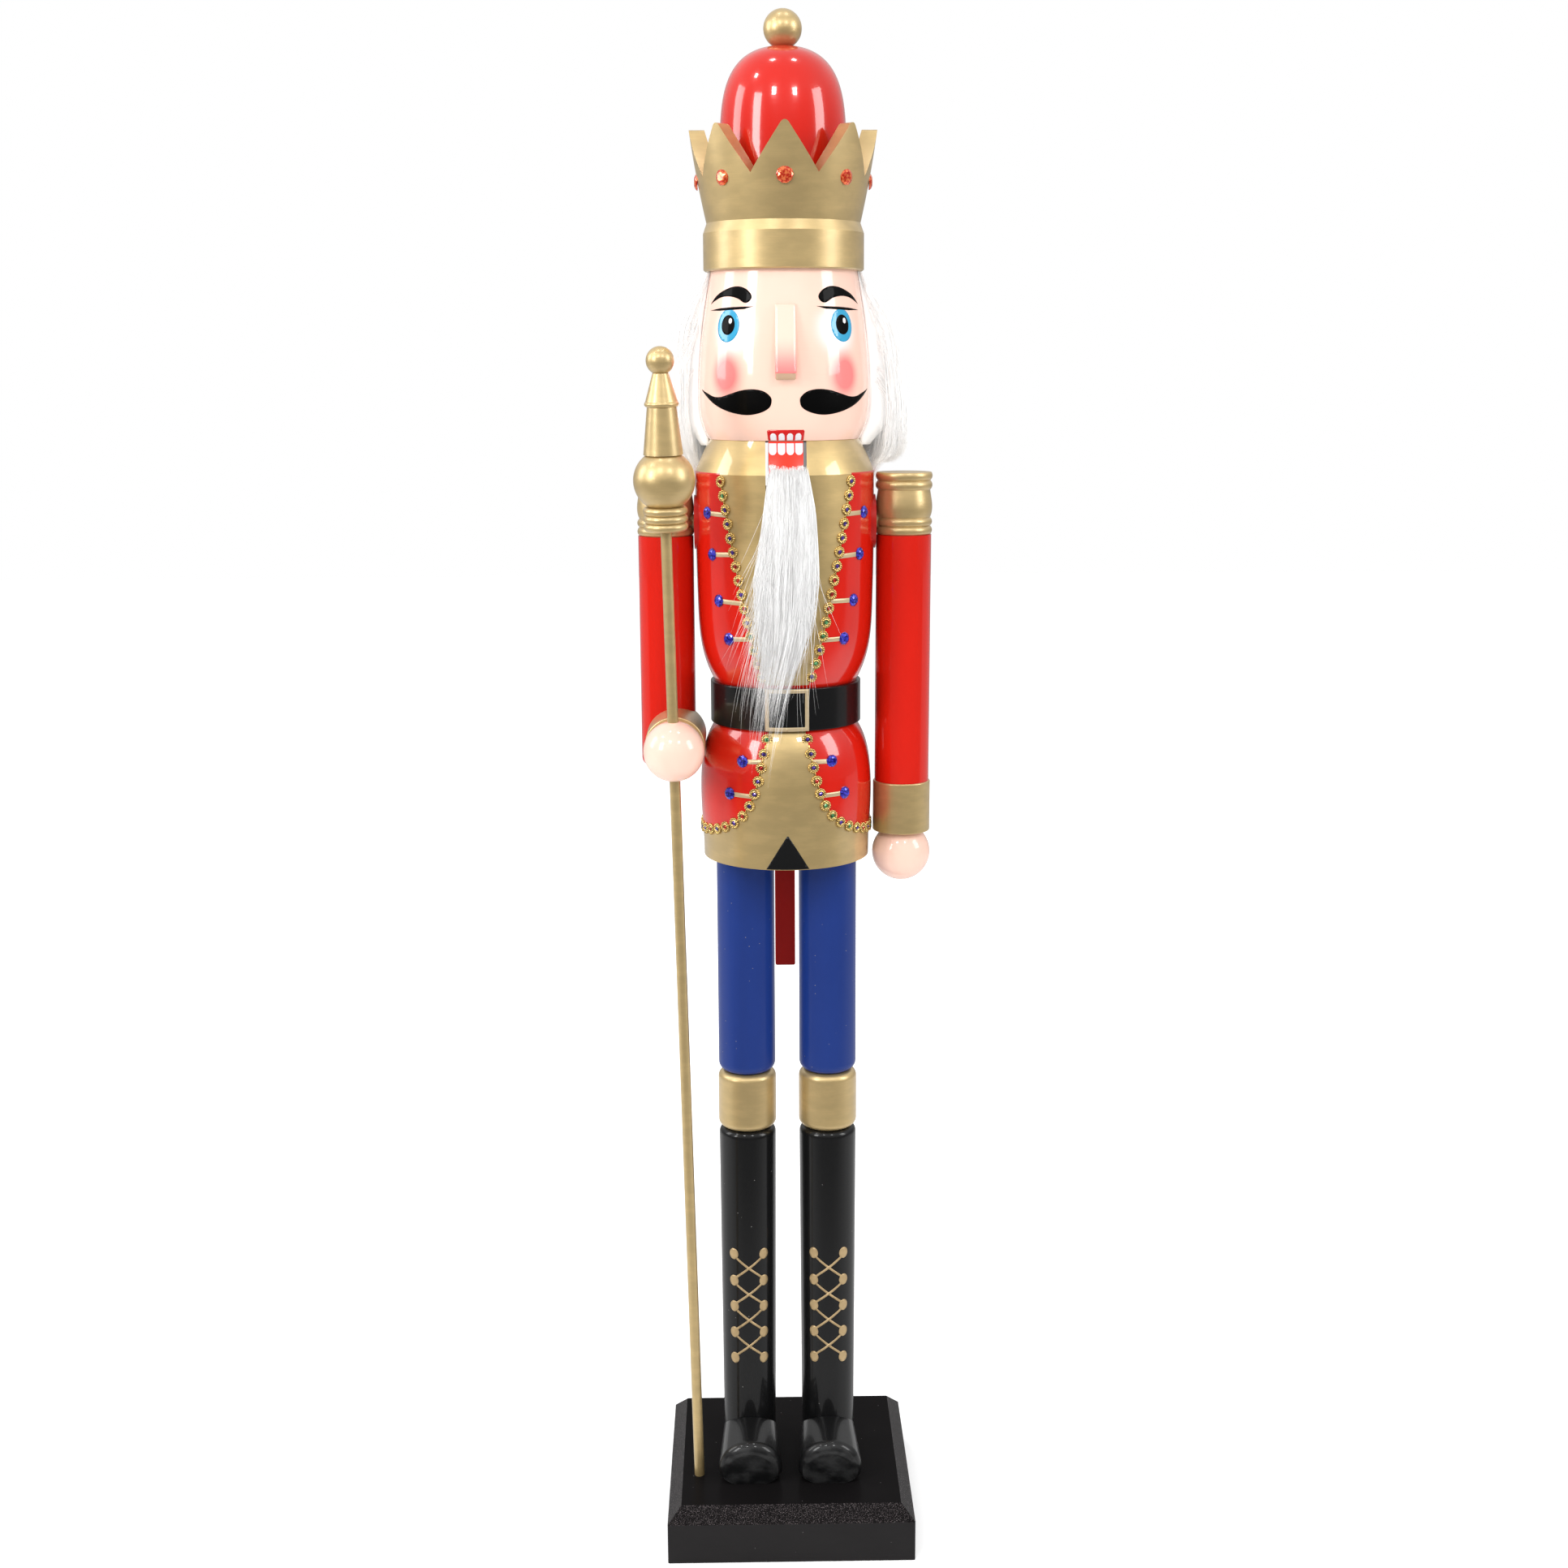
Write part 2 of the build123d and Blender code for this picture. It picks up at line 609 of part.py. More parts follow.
def trim():
    """Chains of florets down the chest and round the skirt, and the buttons beside them."""
    torso = turned(TORSO_SIDE, TORSO_SHOULDER)
    skirt = turned(SKIRT_SIDE)
    unrolled = radians(1) * TORSO_R
    chest_path = Line((45.8 * unrolled, 877), (17.0 * unrolled, 718))
    skirt_path = Spline(
        (14.6 * unrolled, 679.5),
        (19.0 * unrolled, 645),
        (30.8 * unrolled, 614),
        (55.0 * unrolled, 600),
        (110.0 * unrolled, 598),
        (163.0 * unrolled, 598),
    )
    chest = [
        stud(place.X / unrolled, TORSO_SIDE, place.Y, FLORET_R, FLORET_THICKNESS, torso)
        for place in spaced(chest_path, FLORET_PITCH)
    ]
    hem = [
        stud(place.X / unrolled, SKIRT_SIDE, place.Y, FLORET_R, FLORET_THICKNESS, skirt)
        for place in spaced(skirt_path, HEM_FLORET_PITCH)
    ]
    coat_places = [(59.0, 847.5), (54.0, 816.0), (48.4, 781.0), (40.8, 752.0)]
    skirt_places = [(31.8, 657.0), (41.0, 631.0)]
    coat = [stud(a, TORSO_SIDE, z, BUTTON_R, 2.6, torso) for a, z in coat_places]
    low = [stud(a, SKIRT_SIDE, z, BUTTON_R, 2.6, skirt) for a, z in skirt_places]
    return {
        "chest_trim_left": group(chest),
        "chest_trim_right": group(mirrored(piece) for piece in chest),
        "skirt_trim_left": group(hem),
        "skirt_trim_right": group(mirrored(piece) for piece in hem),
        "coat_buttons": group(coat + [mirrored(piece) for piece in coat]),
        "skirt_buttons": group(low + [mirrored(piece) for piece in low]),
    }


# ---------------------------------------------------------------- the whole figure


def main():
    """Write every node of the figure to its own file."""
    os.makedirs("parts", exist_ok=True)
    for section in (legs, body, mouth, head, left_arm, right_arm, sceptre, trim):
        for name, piece in section().items():
            export_step(piece, f"parts/{name}.step")


main()
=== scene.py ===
"""The looks of the nutcracker figure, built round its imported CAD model.

Metres in the row frame: +Z is up and the figure faces -Y. Shapes that are laid out on the
figure's surface are written in millimetres and in degrees from the front towards +X.
"""

import random
from math import atan2, copysign, cos, degrees, pi, radians, sin

import bpy
import numpy as np
from mathutils import Matrix, Vector
from mathutils.bvhtree import BVHTree
from mathutils.geometry import delaunay_2d_cdt


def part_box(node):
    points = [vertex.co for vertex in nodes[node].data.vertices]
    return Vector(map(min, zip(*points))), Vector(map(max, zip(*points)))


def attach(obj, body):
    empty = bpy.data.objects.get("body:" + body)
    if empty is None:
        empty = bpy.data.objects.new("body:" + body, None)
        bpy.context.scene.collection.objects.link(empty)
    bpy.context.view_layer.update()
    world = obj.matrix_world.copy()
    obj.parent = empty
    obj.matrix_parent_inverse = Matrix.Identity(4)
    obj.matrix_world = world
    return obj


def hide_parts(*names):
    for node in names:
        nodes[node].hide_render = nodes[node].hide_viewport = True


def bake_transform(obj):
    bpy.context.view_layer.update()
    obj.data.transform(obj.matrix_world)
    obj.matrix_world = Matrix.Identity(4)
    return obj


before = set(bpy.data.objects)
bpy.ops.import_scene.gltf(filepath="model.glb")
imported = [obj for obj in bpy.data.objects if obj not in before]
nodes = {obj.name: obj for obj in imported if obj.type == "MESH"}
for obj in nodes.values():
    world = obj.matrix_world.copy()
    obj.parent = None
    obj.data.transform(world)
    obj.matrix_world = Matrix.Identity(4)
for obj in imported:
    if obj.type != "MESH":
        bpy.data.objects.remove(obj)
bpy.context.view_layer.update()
MM = 0.001
rng = np.random.default_rng(1892)


# ---------------- camera and light


def place_camera():
    """A portrait lens at chest height, tipped down to take in the base."""
    pitch, yaw, roll = radians(11.40), radians(0.95), radians(-0.28)
    ahead = Vector((
        sin(yaw) * cos(pitch),
        cos(yaw) * cos(pitch),
        -sin(pitch),
    ))
    level = Vector((cos(yaw), -sin(yaw), 0))
    above = level.cross(ahead)
    right = cos(roll) * level + sin(roll) * above
    up = cos(roll) * above - sin(roll) * level
    camera = bpy.data.objects.new("camera", bpy.data.cameras.new("camera"))
    camera.matrix_world = Matrix((
        (right.x, up.x, -ahead.x, -0.0288),
        (right.y, up.y, -ahead.y, -1.6376),
        (right.z, up.z, -ahead.z, 0.9580),
        (0, 0, 0, 1),
    ))
    camera.data.sensor_width = 36
    camera.data.lens = 47.67
    link(camera)
    bpy.context.scene.camera = camera


def link(made):
    bpy.context.scene.collection.objects.link(made)


def feed(tree, socket, value):
    """Links a socket to another node's output, or sets its constant."""
    if isinstance(value, bpy.types.NodeSocket):
        tree.links.new(value, socket)
    else:
        socket.default_value = value


def math_node(tree, operation, *values):
    node = tree.nodes.new("ShaderNodeMath")
    node.operation = operation
    for socket, value in zip(node.inputs, values):
        feed(tree, socket, value)
    return node.outputs[0]


def soft_box(name, place, width, height, watts, mirrored=True):
    """A rectangular studio light that faces the middle of the figure."""
    lamp = bpy.data.lights.new(name, "AREA")
    lamp.shape = "RECTANGLE"
    lamp.size = width
    lamp.size_y = height
    lamp.energy = watts
    light = bpy.data.objects.new(name, lamp)
    light.visible_camera = False
    light.visible_glossy = mirrored
    light.location = place
    aim = Vector((0, 0, 0.62)) - Vector(place)
    light.rotation_euler = aim.to_track_quat("-Z", "Y").to_euler()
    link(light)


def light_studio():
    """Soft boxes all round and bulbs overhead, in a white room that is dim behind the camera."""
    soft_box("box_left", (-1.75, -1.45, 1.65), 0.6, 1.1, 24)
    soft_box("box_right", (2.05, -0.75, 1.65), 0.75, 1.2, 20)
    soft_box("box_left_side", (-2.15, 0.15, 1.6), 0.7, 1.2, 14)
    soft_box("box_front", (0.0, -2.6, 2.1), 1.8, 0.9, 15, False)
    soft_box("box_back_left", (-1.2, 1.9, 1.5), 1.0, 1.4, 14, False)
    soft_box("box_back_right", (1.2, 1.9, 1.5), 1.0, 1.4, 14, False)
    bulbs = [
        (-0.42, -0.13, 3.0), (0.5, -0.13, 3.0), (-1.24, -0.5, 2.4), (-0.4, -1.2, 1.85), (0.5, -1.2, 1.85),
    ]
    for number, place in enumerate(bulbs):
        soft_box(f"bulb_{number}", place, 0.2, 0.2, 3.5)
    world = bpy.data.worlds.new("room")
    bpy.context.scene.world = world
    world.cycles.sampling_method = "NONE"
    world.use_nodes = True
    tree = world.node_tree
    path = tree.nodes.new("ShaderNodeLightPath").outputs
    axes = tree.nodes.new("ShaderNodeSeparateXYZ")
    tree.links.new(tree.nodes.new("ShaderNodeTexCoord").outputs["Generated"], axes.inputs[0])
    behind = math_node(tree, "MULTIPLY_ADD", axes.outputs["Y"], 0.42, 0.42)
    overhead = math_node(tree, "MAXIMUM", axes.outputs["Z"], 0.0)
    overhead = math_node(tree, "MINIMUM", overhead, 0.55)
    around = math_node(tree, "POWER", behind, 1.6)
    mirrored = math_node(tree, "MULTIPLY_ADD", around, 0.28, 0.12)
    mirrored = math_node(tree, "ADD", mirrored, overhead)
    strength = math_node(tree, "MULTIPLY_ADD", path["Is Diffuse Ray"], 0.46, path["Is Camera Ray"])
    strength = math_node(tree, "MULTIPLY_ADD", path["Is Glossy Ray"], mirrored, strength)
    background = tree.nodes["Background"]
    background.inputs["Color"].default_value = (1, 1, 1, 1)
    tree.links.new(strength, background.inputs["Strength"])
    bpy.context.scene.view_settings.view_transform = "Standard"


# ---------------- materials


class Shader:
    """One material. place, x, y and z are its row-frame coordinates in millimetres."""

    def __init__(self, name, **constants):
        self.material = bpy.data.materials.new(name)
        self.material.use_nodes = True
        self.tree = self.material.node_tree
        self.surface = self.tree.nodes["Principled BSDF"]
        for socket, value in constants.items():
            self.surface.inputs[socket.replace("_", " ")].default_value = value
        metres = self.tree.nodes.new("ShaderNodeTexCoord").outputs["Object"]
        self.place = self.stretched(metres, (1000, 1000, 1000))
        axes = self.add("ShaderNodeSeparateXYZ", Vector=self.place)
        self.x, self.y, self.z = axes.outputs

    def add(self, kind, settings=(), **inputs):
        node = self.tree.nodes.new(kind)
        for name, value in dict(settings).items():
            setattr(node, name, value)
        for name, value in inputs.items():
            feed(self.tree, node.inputs[name.replace("_", " ")], value)
        return node

    def stretched(self, vector, factors):
        node = self.tree.nodes.new("ShaderNodeVectorMath")
        node.operation = "MULTIPLY"
        feed(self.tree, node.inputs[0], vector)
        feed(self.tree, node.inputs[1], factors)
        return node.outputs[0]

    def math(self, operation, *values):
        return math_node(self.tree, operation, *values)

    def times(self, first, second):
        return self.math("MULTIPLY", first, second)

    def above(self, value, edge, softness=0.25):
        """0 where value is below edge and 1 where it is above."""
        shifted = self.math("SUBTRACT", value, edge)
        return self.stepped(shifted, "SMOOTHSTEP", From_Min=-softness, From_Max=softness)

    def below(self, value, edge, softness=0.25):
        """1 where value is below edge and 0 where it is above."""
        return self.math("SUBTRACT", 1.0, self.above(value, edge, softness))

    def stepped(self, value, kind, **limits):
        node = self.add("ShaderNodeMapRange", {"interpolation_type": kind}, Value=value, **limits)
        return node.outputs["Result"]

    def mixed(self, factor, first, second):
        node = self.tree.nodes.new("ShaderNodeMix")
        node.data_type = "RGBA"
        feed(self.tree, node.inputs["Factor"], factor)
        feed(self.tree, node.inputs[6], first)
        feed(self.tree, node.inputs[7], second)
        return node.outputs[2]

    def varied(self, factor, colour, darkest, lightest=1.0):
        """A colour times a share that runs from darkest to lightest with a factor from 0 to 1."""
        return self.mixed(factor, dimmed(colour, darkest), dimmed(colour, lightest))

    def noise(self, size, detail=2.0):
        """Noise from 0 to 1 with features of a size in millimetres, which may differ by axis."""
        vector = self.stretched(self.place, 1 / np.broadcast_to(size, 3))
        return self.add("ShaderNodeTexNoise", Vector=vector, Scale=1.0, Detail=detail).outputs[0]

    def specks(self, size, share):
        """1 on small scattered specks of dust, whose number follows share."""
        vector = self.stretched(self.place, (1 / size,) * 3)
        cells = self.add("ShaderNodeTexVoronoi", Vector=vector, Scale=1.0, Randomness=1.0)
        near = self.math("LESS_THAN", cells.outputs["Distance"], 0.13)
        chosen = self.add("ShaderNodeSeparateColor", Color=cells.outputs["Color"]).outputs[0]
        return self.times(near, self.math("LESS_THAN", chosen, share))

    def curve(self, value, points):
        """A smooth curve through points, both of whose coordinates run from 0 to 1."""
        node = self.add("ShaderNodeFloatCurve", Value=value)
        line = node.mapping.curves[0]
        line.points[0].location = points[0]
        line.points[1].location = points[-1]
        for point in points[1:-1]:
            line.points.new(*point)
        node.mapping.update()
        return node.outputs[0]

    def angle(self):
        """Degrees from the front, the same on both sides of the figure."""
        turn = self.math("ARCTAN2", self.math("ABSOLUTE", self.x), self.times(self.y, -1.0))
        return self.times(turn, degrees(1))

    def facing(self):
        """The parts of the surface's direction along X, Y and Z."""
        normal = self.add("ShaderNodeNewGeometry").outputs["Normal"]
        return self.add("ShaderNodeSeparateXYZ", Vector=normal).outputs

    def set(self, socket, value):
        feed(self.tree, self.surface.inputs[socket], value)

    def colour(self, value):
        self.set("Base Color", value)

    def bump(self, *layers):
        """Adds relief. Each layer is (height, millimetres between its low and its high)."""
        normal = None
        for height, depth in layers:
            node = self.add("ShaderNodeBump", Height=height, Distance=depth * MM)
            if normal is not None:
                self.tree.links.new(normal, node.inputs["Normal"])
            normal = node.outputs["Normal"]
        self.tree.links.new(normal, self.surface.inputs["Normal"])


def dimmed(colour, share):
    return tuple(part * share for part in colour[:3]) + (1.0,)


RED = (0.58, 0.010, 0.003, 1)
DARK_RED = (0.23, 0.006, 0.004, 1)
MOUTH_RED = (0.55, 0.002, 0.003, 1)
JAW_RED = (0.86, 0.032, 0.012, 1)
GOLD = (0.65, 0.474, 0.210, 1)
CREAM_GOLD = (0.72, 0.56, 0.34, 1)
FLESH = (0.89, 0.585, 0.475, 1)
ROSE = (0.93, 0.16, 0.165, 1)
EYE_WHITE = (0.90, 0.87, 0.88, 1)
BLUE = (0.009, 0.032, 0.185, 1)
BLACK = (0.0055, 0.0055, 0.0058, 1)
BASE_BLACK = (0.013, 0.0118, 0.0122, 1)


def gloss_relief(shader, peel=0.035):
    """The slight orange peel of sprayed lacquer over turned wood."""
    shader.bump(
        (shader.noise((14, 14, 3), 3), peel),
        (shader.noise((40, 40, 1.2), 2), peel),
        (shader.noise((2.2, 2.2, 1.1), 2), peel * 0.16),
    )


def lacquer(name, colour, roughness=0.2, coat=0.7, peel=0.035, dust=0.0, shine=0.25):
    """Sprayed gloss paint, a little darker and lighter in patches."""
    shader = Shader(name, Coat_Weight=coat, Coat_Roughness=0.05, Coat_IOR=1.6, Roughness=roughness)
    shader.set("Specular IOR Level", shine)
    tone = shader.varied(shader.noise((60, 60, 110), 3), colour, 0.86, 1.10)
    if dust:
        tone = shader.mixed(shader.specks(2.8, dust), tone, (0.20, 0.195, 0.19, 1))
    shader.colour(tone)
    gloss_relief(shader, peel)
    return shader


def gold_tone(shader):
    """Champagne gold with fine streaks round the turning and a few worn flecks."""
    streaks = shader.noise((30, 30, 0.6), 4)
    patches = shader.noise((22, 22, 9), 4)
    tone = shader.varied(streaks, GOLD, 0.90, 1.10)
    tone = shader.mixed(shader.above(patches, 0.52, 0.16), dimmed(GOLD, 0.88), tone)
    return tone, streaks


def gold_paint():
    shader = Shader("gold_paint", Metallic=0.7, Coat_Weight=0.9, Coat_Roughness=0.3)
    tone, streaks = gold_tone(shader)
    shader.colour(tone)
    grain = shader.noise((1.3, 1.3, 0.9), 3)
    shader.set("Roughness", shader.math("MULTIPLY_ADD", streaks, 0.10, 0.36))
    shader.bump((streaks, 0.02), (shader.noise((16, 16, 5), 3), 0.12), (grain, 0.025))
    return shader.material


def red_and_gold(name, gold_share):
    """Red lacquer with gold over the share that gold_share(shader) gives."""
    shader = Shader(name, Coat_Weight=0.8, Coat_Roughness=0.05, Coat_IOR=1.6, Specular_IOR_Level=0.25)
    gold = gold_share(shader)
    red = shader.varied(shader.noise((60, 60, 110), 3), RED, 0.86, 1.10)
    tone, streaks = gold_tone(shader)
    shader.colour(shader.mixed(gold, red, tone))
    shader.set("Metallic", shader.times(gold, 0.7))
    shader.set("Roughness", shader.math("MULTIPLY_ADD", gold, 0.2, 0.2))
    peel = shader.noise((14, 14, 3), 3)
    shader.bump((peel, 0.05), (shader.times(streaks, gold), 0.06))
    return shader.material


def vest_share(shader):
    """The yoke, and the front between the two chains."""
    lowest, highest = 718.0, 877.0
    slope = (45.8 - 17.0) / (highest - lowest)
    start = 17.0 - slope * lowest
    edge = shader.math("MULTIPLY_ADD", shader.z, slope, start)
    vest = shader.times(shader.below(shader.angle(), edge), shader.above(shader.z, 716.5))
    return shader.math("MAXIMUM", vest, shader.above(shader.z, 878.0))


def panel_share(shader):
    """The skirt's front panel, spreading into a band round the hem."""
    low, span = 560.0, 140.0
    line = [(0, 700), (13.4, 700), (14.6, 679.5), (19, 645), (30.8, 614), (55, 600), (180, 598)]
    points = [(angle / 180, (height - low) / span) for angle, height in line]
    turn = shader.math("DIVIDE", shader.angle(), 180.0)
    edge = shader.math("MULTIPLY_ADD", shader.curve(turn, points), span, low)
    return shader.below(shader.z, edge)


def long_side(shader, *sides):
    squares = [shader.times(side, side) for side in sides]
    return shader.math("SQRT", shader.math("ADD", *squares))


def spot(shader, angle, height, reach_across, reach_up):
    """1 at a place on the face, fading evenly to 0 at its reach. Both sides of the face."""
    across = shader.math("DIVIDE", shader.math("SUBTRACT", shader.angle(), angle), reach_across)
    up = shader.math("DIVIDE", shader.math("SUBTRACT", shader.z, height), reach_up)
    return shader.stepped(long_side(shader, across, up), "SMOOTHERSTEP", To_Min=1.0, To_Max=0.0)


def face_paint():
    """Flesh with airbrushed eye whites and cheeks."""
    shader = lacquer("face_paint", FLESH, 0.24, 0.6, 0.06)
    tone = shader.varied(shader.noise((50, 50, 70), 2), FLESH, 0.97)
    white = shader.times(spot(shader, 38, 985, 24, 27), 1.35)
    white = shader.times(white, shader.below(shader.z, 998, 6))
    tone = shader.mixed(shader.math("MINIMUM", white, 1.0), tone, EYE_WHITE)
    cheek = shader.math("MINIMUM", shader.times(spot(shader, 43, 951, 19, 25), 1.25), 0.86)
    shader.colour(shader.mixed(cheek, tone, ROSE))
    return shader.material


def nose_paint():
    """Flesh that turns rosy towards the tip, with a bare sawn underside."""
    shader = lacquer("nose_paint", FLESH, 0.24, 0.5, 0.03)
    tone = shader.mixed(shader.times(shader.below(shader.z, 965, 15), 0.95), FLESH, ROSE)
    under = shader.math("LESS_THAN", shader.facing()["Z"], -0.5)
    shader.colour(shader.mixed(under, tone, (0.50, 0.36, 0.23, 1)))
    return shader.material


def base_paint():
    """Satin black on a sanded board, rough and sparkling along its sawn chamfer, with painted shade
    darkening the faces that look up.
    """
    shader = Shader("base_paint")
    sideways, _, up = shader.facing()
    slope = shader.math("COMPARE", up, 0.69, 0.12)
    upward = shader.above(up, 0.4, 0.1)
    tone = shader.varied(shader.noise((40, 40, 22), 3), BASE_BLACK, 0.85, 1.2)
    # painted shade: faces that look up are darkened
    tone = shader.mixed(shader.times(upward, 0.45), tone, (0, 0, 0, 1))
    glitter = shader.times(slope, shader.above(shader.noise(0.6, 2), 0.60, 0.04))
    tone = shader.mixed(shader.times(glitter, 0.22), tone, (0.50, 0.43, 0.44, 1))
    tone = shader.mixed(shader.specks(3.0, 0.03), tone, (0.12, 0.115, 0.115, 1))
    shader.colour(tone)
    top = shader.above(up, 0.9, 0.05)
    side_slope = shader.times(slope, shader.above(shader.math("ABSOLUTE", sideways), 0.5, 0.1))
    satin = shader.math("MULTIPLY_ADD", upward, -0.17, 0.18)
    shader.set("Specular IOR Level", shader.math("MULTIPLY_ADD", side_slope, 0.36, satin))
    roughness = shader.math("MULTIPLY_ADD", slope, 0.25, 0.40)
    shader.set("Roughness", shader.math("MULTIPLY_ADD", top, -0.16, roughness))
    grit = shader.times(shader.noise(0.6, 3), shader.math("ADD", slope, 0.10))
    shader.bump((grit, 0.22), (shader.noise((30, 4, 3), 3), 0.05))
    return shader.material


def shoe_paint():
    """Black gloss with the cloudy bloom of thin lacquer on end grain."""
    shader = lacquer("shoe_paint", BLACK, 0.34, 0.25, 0.05, 0.03)
    toe = shader.math("LESS_THAN", shader.facing()["Y"], -0.8)
    bloom = shader.times(toe, shader.above(shader.noise((13, 13, 9), 4), 0.52, 0.18))
    shader.colour(shader.mixed(shader.times(bloom, 0.022), BLACK, (1, 1, 1, 1)))
    return shader.material


def fur(name, painted_glow):
    """Long white pile with painted shade: greyer in long streaks, as between its locks, and darker towards
    the back. Its glow is a painted glow: light the pile gives out though it is no lamp, weaker towards the
    back.
    """
    shader = Shader(name, Roughness=0.5, Specular_IOR_Level=0.2, Sheen_Weight=1.0, Sheen_Roughness=0.45)
    # painted glow: the pile gives out light of its own though it is no lamp, weaker towards the back
    shader.set("Emission Color", (1, 1, 0.985, 1))
    back = shader.above(shader.y, 22.0, 22.0)
    shader.set("Emission Strength", shader.math("MULTIPLY_ADD", back, -0.85 * painted_glow, painted_glow))
    # painted shade in long streaks, as between the locks
    locks = shader.noise((3.2, 3.2, 46), 3)
    tone = shader.mixed(shader.above(locks, 0.5, 0.22), (0.80, 0.795, 0.79, 1), (0.97, 0.97, 0.965, 1))
    # painted shade: the pile darkens towards the back
    tone = shader.mixed(shader.times(back, 0.24), tone, (0, 0, 0, 1))
    shader.colour(tone)
    shader.bump((shader.noise((0.8, 0.8, 24), 2), 0.15))
    return shader.material


def gilt():
    """Gilded stamped metal, dark in its hollows."""
    shader = Shader("gilt_metal", Metallic=1.0, Roughness=0.24)
    tone = shader.mixed(shader.noise(1.1, 2), (0.50, 0.30, 0.07, 1), (0.96, 0.72, 0.30, 1))
    shader.colour(tone)
    shader.bump((shader.noise(0.35, 2), 0.03))
    return shader.material


def stone(name, colour, sparkle):
    """Foil-backed cut glass, with painted glints: noise patches of a lighter colour."""
    shader = Shader(name, Metallic=0.55, Roughness=0.07, Coat_Weight=1.0, Coat_Roughness=0.02)
    # painted glints: patches of the lighter colour
    glints = shader.noise(1.7, 1)
    shader.colour(shader.mixed(shader.above(glints, 0.52, 0.16), colour, sparkle))
    shader.bump((shader.noise(0.9, 1), 0.05))
    return shader.material


def bare_wood():
    """Turned birch, seen only in the joints."""
    shader = Shader("birch", Roughness=0.6)
    grain = shader.noise((3.0, 3.0, 60), 4)
    shader.colour(shader.mixed(grain, (0.45, 0.30, 0.16, 1), (0.66, 0.48, 0.29, 1)))
    shader.bump((grain, 0.06))
    return shader.material


def steel():
    shader = Shader("zinc_steel", Metallic=1.0, Roughness=0.36)
    scuffs = shader.noise((1.0, 1.0, 3.0), 3)
    shader.colour(shader.mixed(scuffs, (0.42, 0.42, 0.41, 1), (0.62, 0.61, 0.60, 1)))
    shader.bump((scuffs, 0.02))
    return shader.material


def wear(material, *names):
    """Gives CAD nodes a material."""
    for name in names:
        mesh = nodes[name].data
        mesh.materials.clear()
        mesh.materials.append(material)


# ---------------- new pieces


def piece(name, points, faces, materials, body, picks=None, smooth=True):
    """A mesh object in metres that rides on a body."""
    mesh = bpy.data.meshes.new(name)
    mesh.from_pydata([tuple(point) for point in points], [], faces)
    for material in materials:
        mesh.materials.append(material)
    if picks is not None:
        mesh.polygons.foreach_set("material_index", picks)
    mesh.polygons.foreach_set("use_smooth", [smooth] * len(mesh.polygons))
    mesh.validate()
    mesh.update()
    made = bpy.data.objects.new(name, mesh)
    link(made)
    if body:
        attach(made, body)
    return made


def islands(name):
    """The centre of each separate solid in a CAD node, in metres."""
    mesh = nodes[name].data
    places = {}
    for vertex in mesh.vertices:
        places.setdefault(tuple(round(part, 6) for part in vertex.co), []).append(vertex.index)
    owner = list(range(len(mesh.vertices)))

    def find(index):
        while owner[index] != index:
            owner[index] = owner[owner[index]]
            index = owner[index]
        return index

    for shared in places.values():
        for index in shared[1:]:
            owner[find(index)] = find(shared[0])
    for face in mesh.polygons:
        first = find(face.vertices[0])
        for index in face.vertices[1:]:
            owner[find(index)] = first
    groups = {}
    for vertex in mesh.vertices:
        groups.setdefault(find(vertex.index), []).append(vertex.co)
    return [Vector([(min(axis) + max(axis)) / 2 for axis in zip(*group)]) for group in groups.values()]


def ray_target(name):
    mesh = nodes[name].data
    points = [vertex.co.copy() for vertex in mesh.vertices]
    return BVHTree.FromPolygons(points, [tuple(face.vertices) for face in mesh.polygons])


class Round:
    """The outside of a turned CAD node about a vertical axis, for laying paint on."""

    def __init__(self, name, axis_x=0.0):
        tree = ray_target(name)
        low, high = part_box(name)
        self.axis_x = axis_x
        self.heights = np.arange(low.z + 0.0003, high.z - 0.0002, 0.0008)
        self.radii = []
        for height in self.heights:
            reach = []
            for turn in np.radians(np.arange(0, 360, 7.3)):
                out = Vector((sin(turn), -cos(turn), 0))
                centre = Vector((axis_x, 0, height))
                hit = tree.ray_cast(centre + out * 0.3, -out)[0]
                if hit:
                    reach.append((hit - centre).length)
            self.radii.append(max(reach))

    def radius(self, height):
        return float(np.interp(height, self.heights, self.radii))

    def at(self, angle, height, lift=0.0):
        """The point at an angle and a height in millimetres, lifted off by millimetres."""
        turn = radians(angle)
        radius = self.radius(height * MM) + lift * MM
        return Vector((self.axis_x + sin(turn) * radius, -cos(turn) * radius, height * MM))


class Front:
    """The front face of a CAD node, where an angle is a distance from the middle in mm."""

    def __init__(self, name):
        self.tree = ray_target(name)

    def at(self, across, height, lift=0.0):
        start = Vector((across * MM, -0.3, height * MM))
        hit = self.tree.ray_cast(start, Vector((0, 1, 0)))[0]
        return hit + Vector((0, -lift * MM, 0))


def flowing(points):
    """A closed outline that curves through its points and has a corner at the first."""
    run = [Vector(point) for point in (*points, points[0])]
    run = [2 * run[0] - run[1], *run, 2 * run[-1] - run[-2]]
    outline = []
    for a, b, c, d in zip(run, run[1:], run[2:], run[3:]):
        for t in (step / 8 for step in range(8)):
            outline.append(0.5 * (
                2 * b + (c - a) * t
                + (2 * a - 5 * b + 4 * c - d) * t * t
                + (3 * b - a - 3 * c + d) * t ** 3
            ))
    return outline


def oval(centre, half_width, half_height, count):
    steps = [2 * pi * step / count for step in range(count)]
    return [
        Vector((centre[0] + half_width * cos(t), centre[1] + half_height * sin(t)))
        for t in steps
    ]


